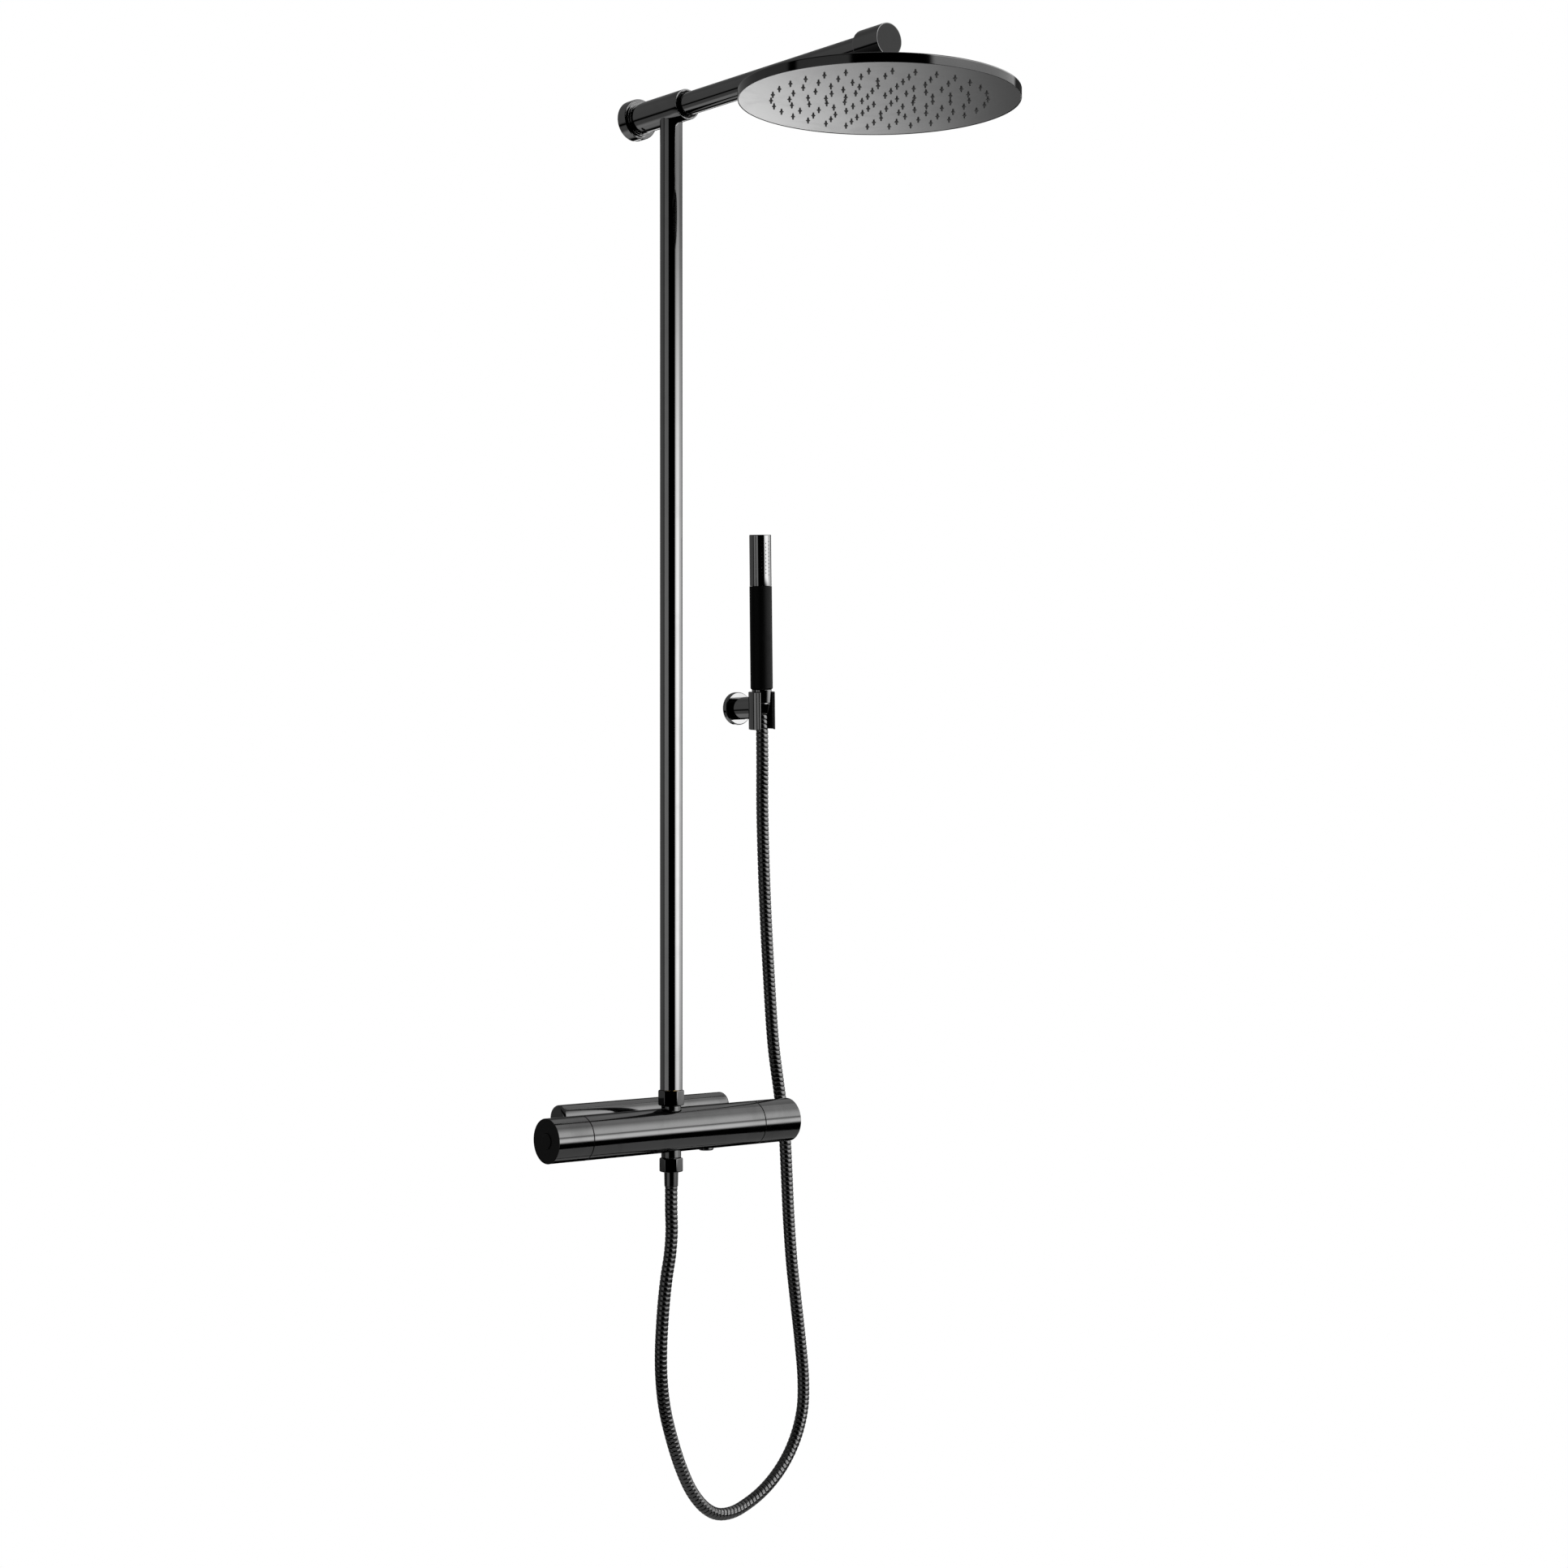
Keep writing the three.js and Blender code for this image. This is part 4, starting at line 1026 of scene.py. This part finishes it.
# the values of each softbox in the order of softboxLabels: angles in degrees, azimuth from +X towards +Y
softboxes = [
    (-56, 8, 26, -12, 10, 4, 12, 2.2),  # hot middle of the tall key light on the right
    (-40, 45, 4, -12, 10, 4, 12, 1.85),  # the rest of the key light
    (-178, 21, 4, -25, 10, 3, 22, 0.55),  # narrow fill on the left
    (102, 46, 4, -12, 8, 30, 20, 0.2),  # dim left side
    (112, 14, 8, -42, 8, -20, 6, 0.18),  # the same side near the ground
    (-40, 46, 6, 12, 7, 26, 34, 2.9),  # glow above the key
    (12, 26, 18, 10, 25, 60, 20, 0.6),  # paler glow above and behind
    (0, 180, 1, 30, 30, 88, 2, 0.2),  # overhead dome
    (61, 7, 9, -19, 8, -10, 3, 2.07),  # low light behind, on the left
    (85, 30, 10, -60, 15, -38, 8, 0.45),  # its bounce off the ground
    (30, 40, 20, -25, 8, -10, 4, 0.1),  # faint low fill behind
]


def studioWorld():
    world = bpy.data.worlds.new("studio")
    bpy.context.scene.world = world
    world.use_nodes = True
    tree = world.node_tree
    tree.nodes.clear()
    direction = addNode(tree, "ShaderNodeTexCoord").outputs["Generated"]
    group = softboxGroup()
    total = None
    for box in softboxes:
        node = addNode(tree, "ShaderNodeGroup", node_tree=group)
        tree.links.new(direction, node.inputs["Direction"])
        for label, value in zip(softboxLabels, box):
            node.inputs[label].default_value = value if label == "Strength" else math.radians(value)
        total = node.outputs[0] if total is None else mathNode(tree, "ADD", total, node.outputs[0])
    lit = addNode(tree, "ShaderNodeBackground", {"Color": grey(1.0)})
    tree.links.new(total, lit.inputs["Strength"])
    seen = addNode(tree, "ShaderNodeBackground", {"Color": grey(1.0), "Strength": 1.0})
    path = addNode(tree, "ShaderNodeLightPath")
    mix = addNode(tree, "ShaderNodeMixShader")
    tree.links.new(path.outputs["Is Camera Ray"], mix.inputs[0])
    tree.links.new(lit.outputs[0], mix.inputs[1])
    tree.links.new(seen.outputs[0], mix.inputs[2])
    tree.links.new(mix.outputs[0], addNode(tree, "ShaderNodeOutputWorld").inputs["Surface"])


studioWorld()

view = {"place": (-1943.4, -2620.5, 368.3), "turn": -39.674, "lens": 63.52, "sensor": 36.0, "shift": 0.01765,
        "far": 50}


def studioCamera():
    data = bpy.data.cameras.new("camera")
    data.lens = view["lens"]
    data.sensor_width = view["sensor"]
    data.shift_y = view["shift"]
    data.clip_end = view["far"]
    camera = bpy.data.objects.new("camera", data)
    bpy.context.scene.collection.objects.link(camera)
    camera.location = Vector(view["place"]) * mm
    camera.rotation_euler = (math.pi / 2, 0, math.radians(view["turn"]))
    bpy.context.scene.camera = camera


studioCamera()
bpy.context.scene.view_settings.view_transform = "Standard"
print("stage, light and camera done")
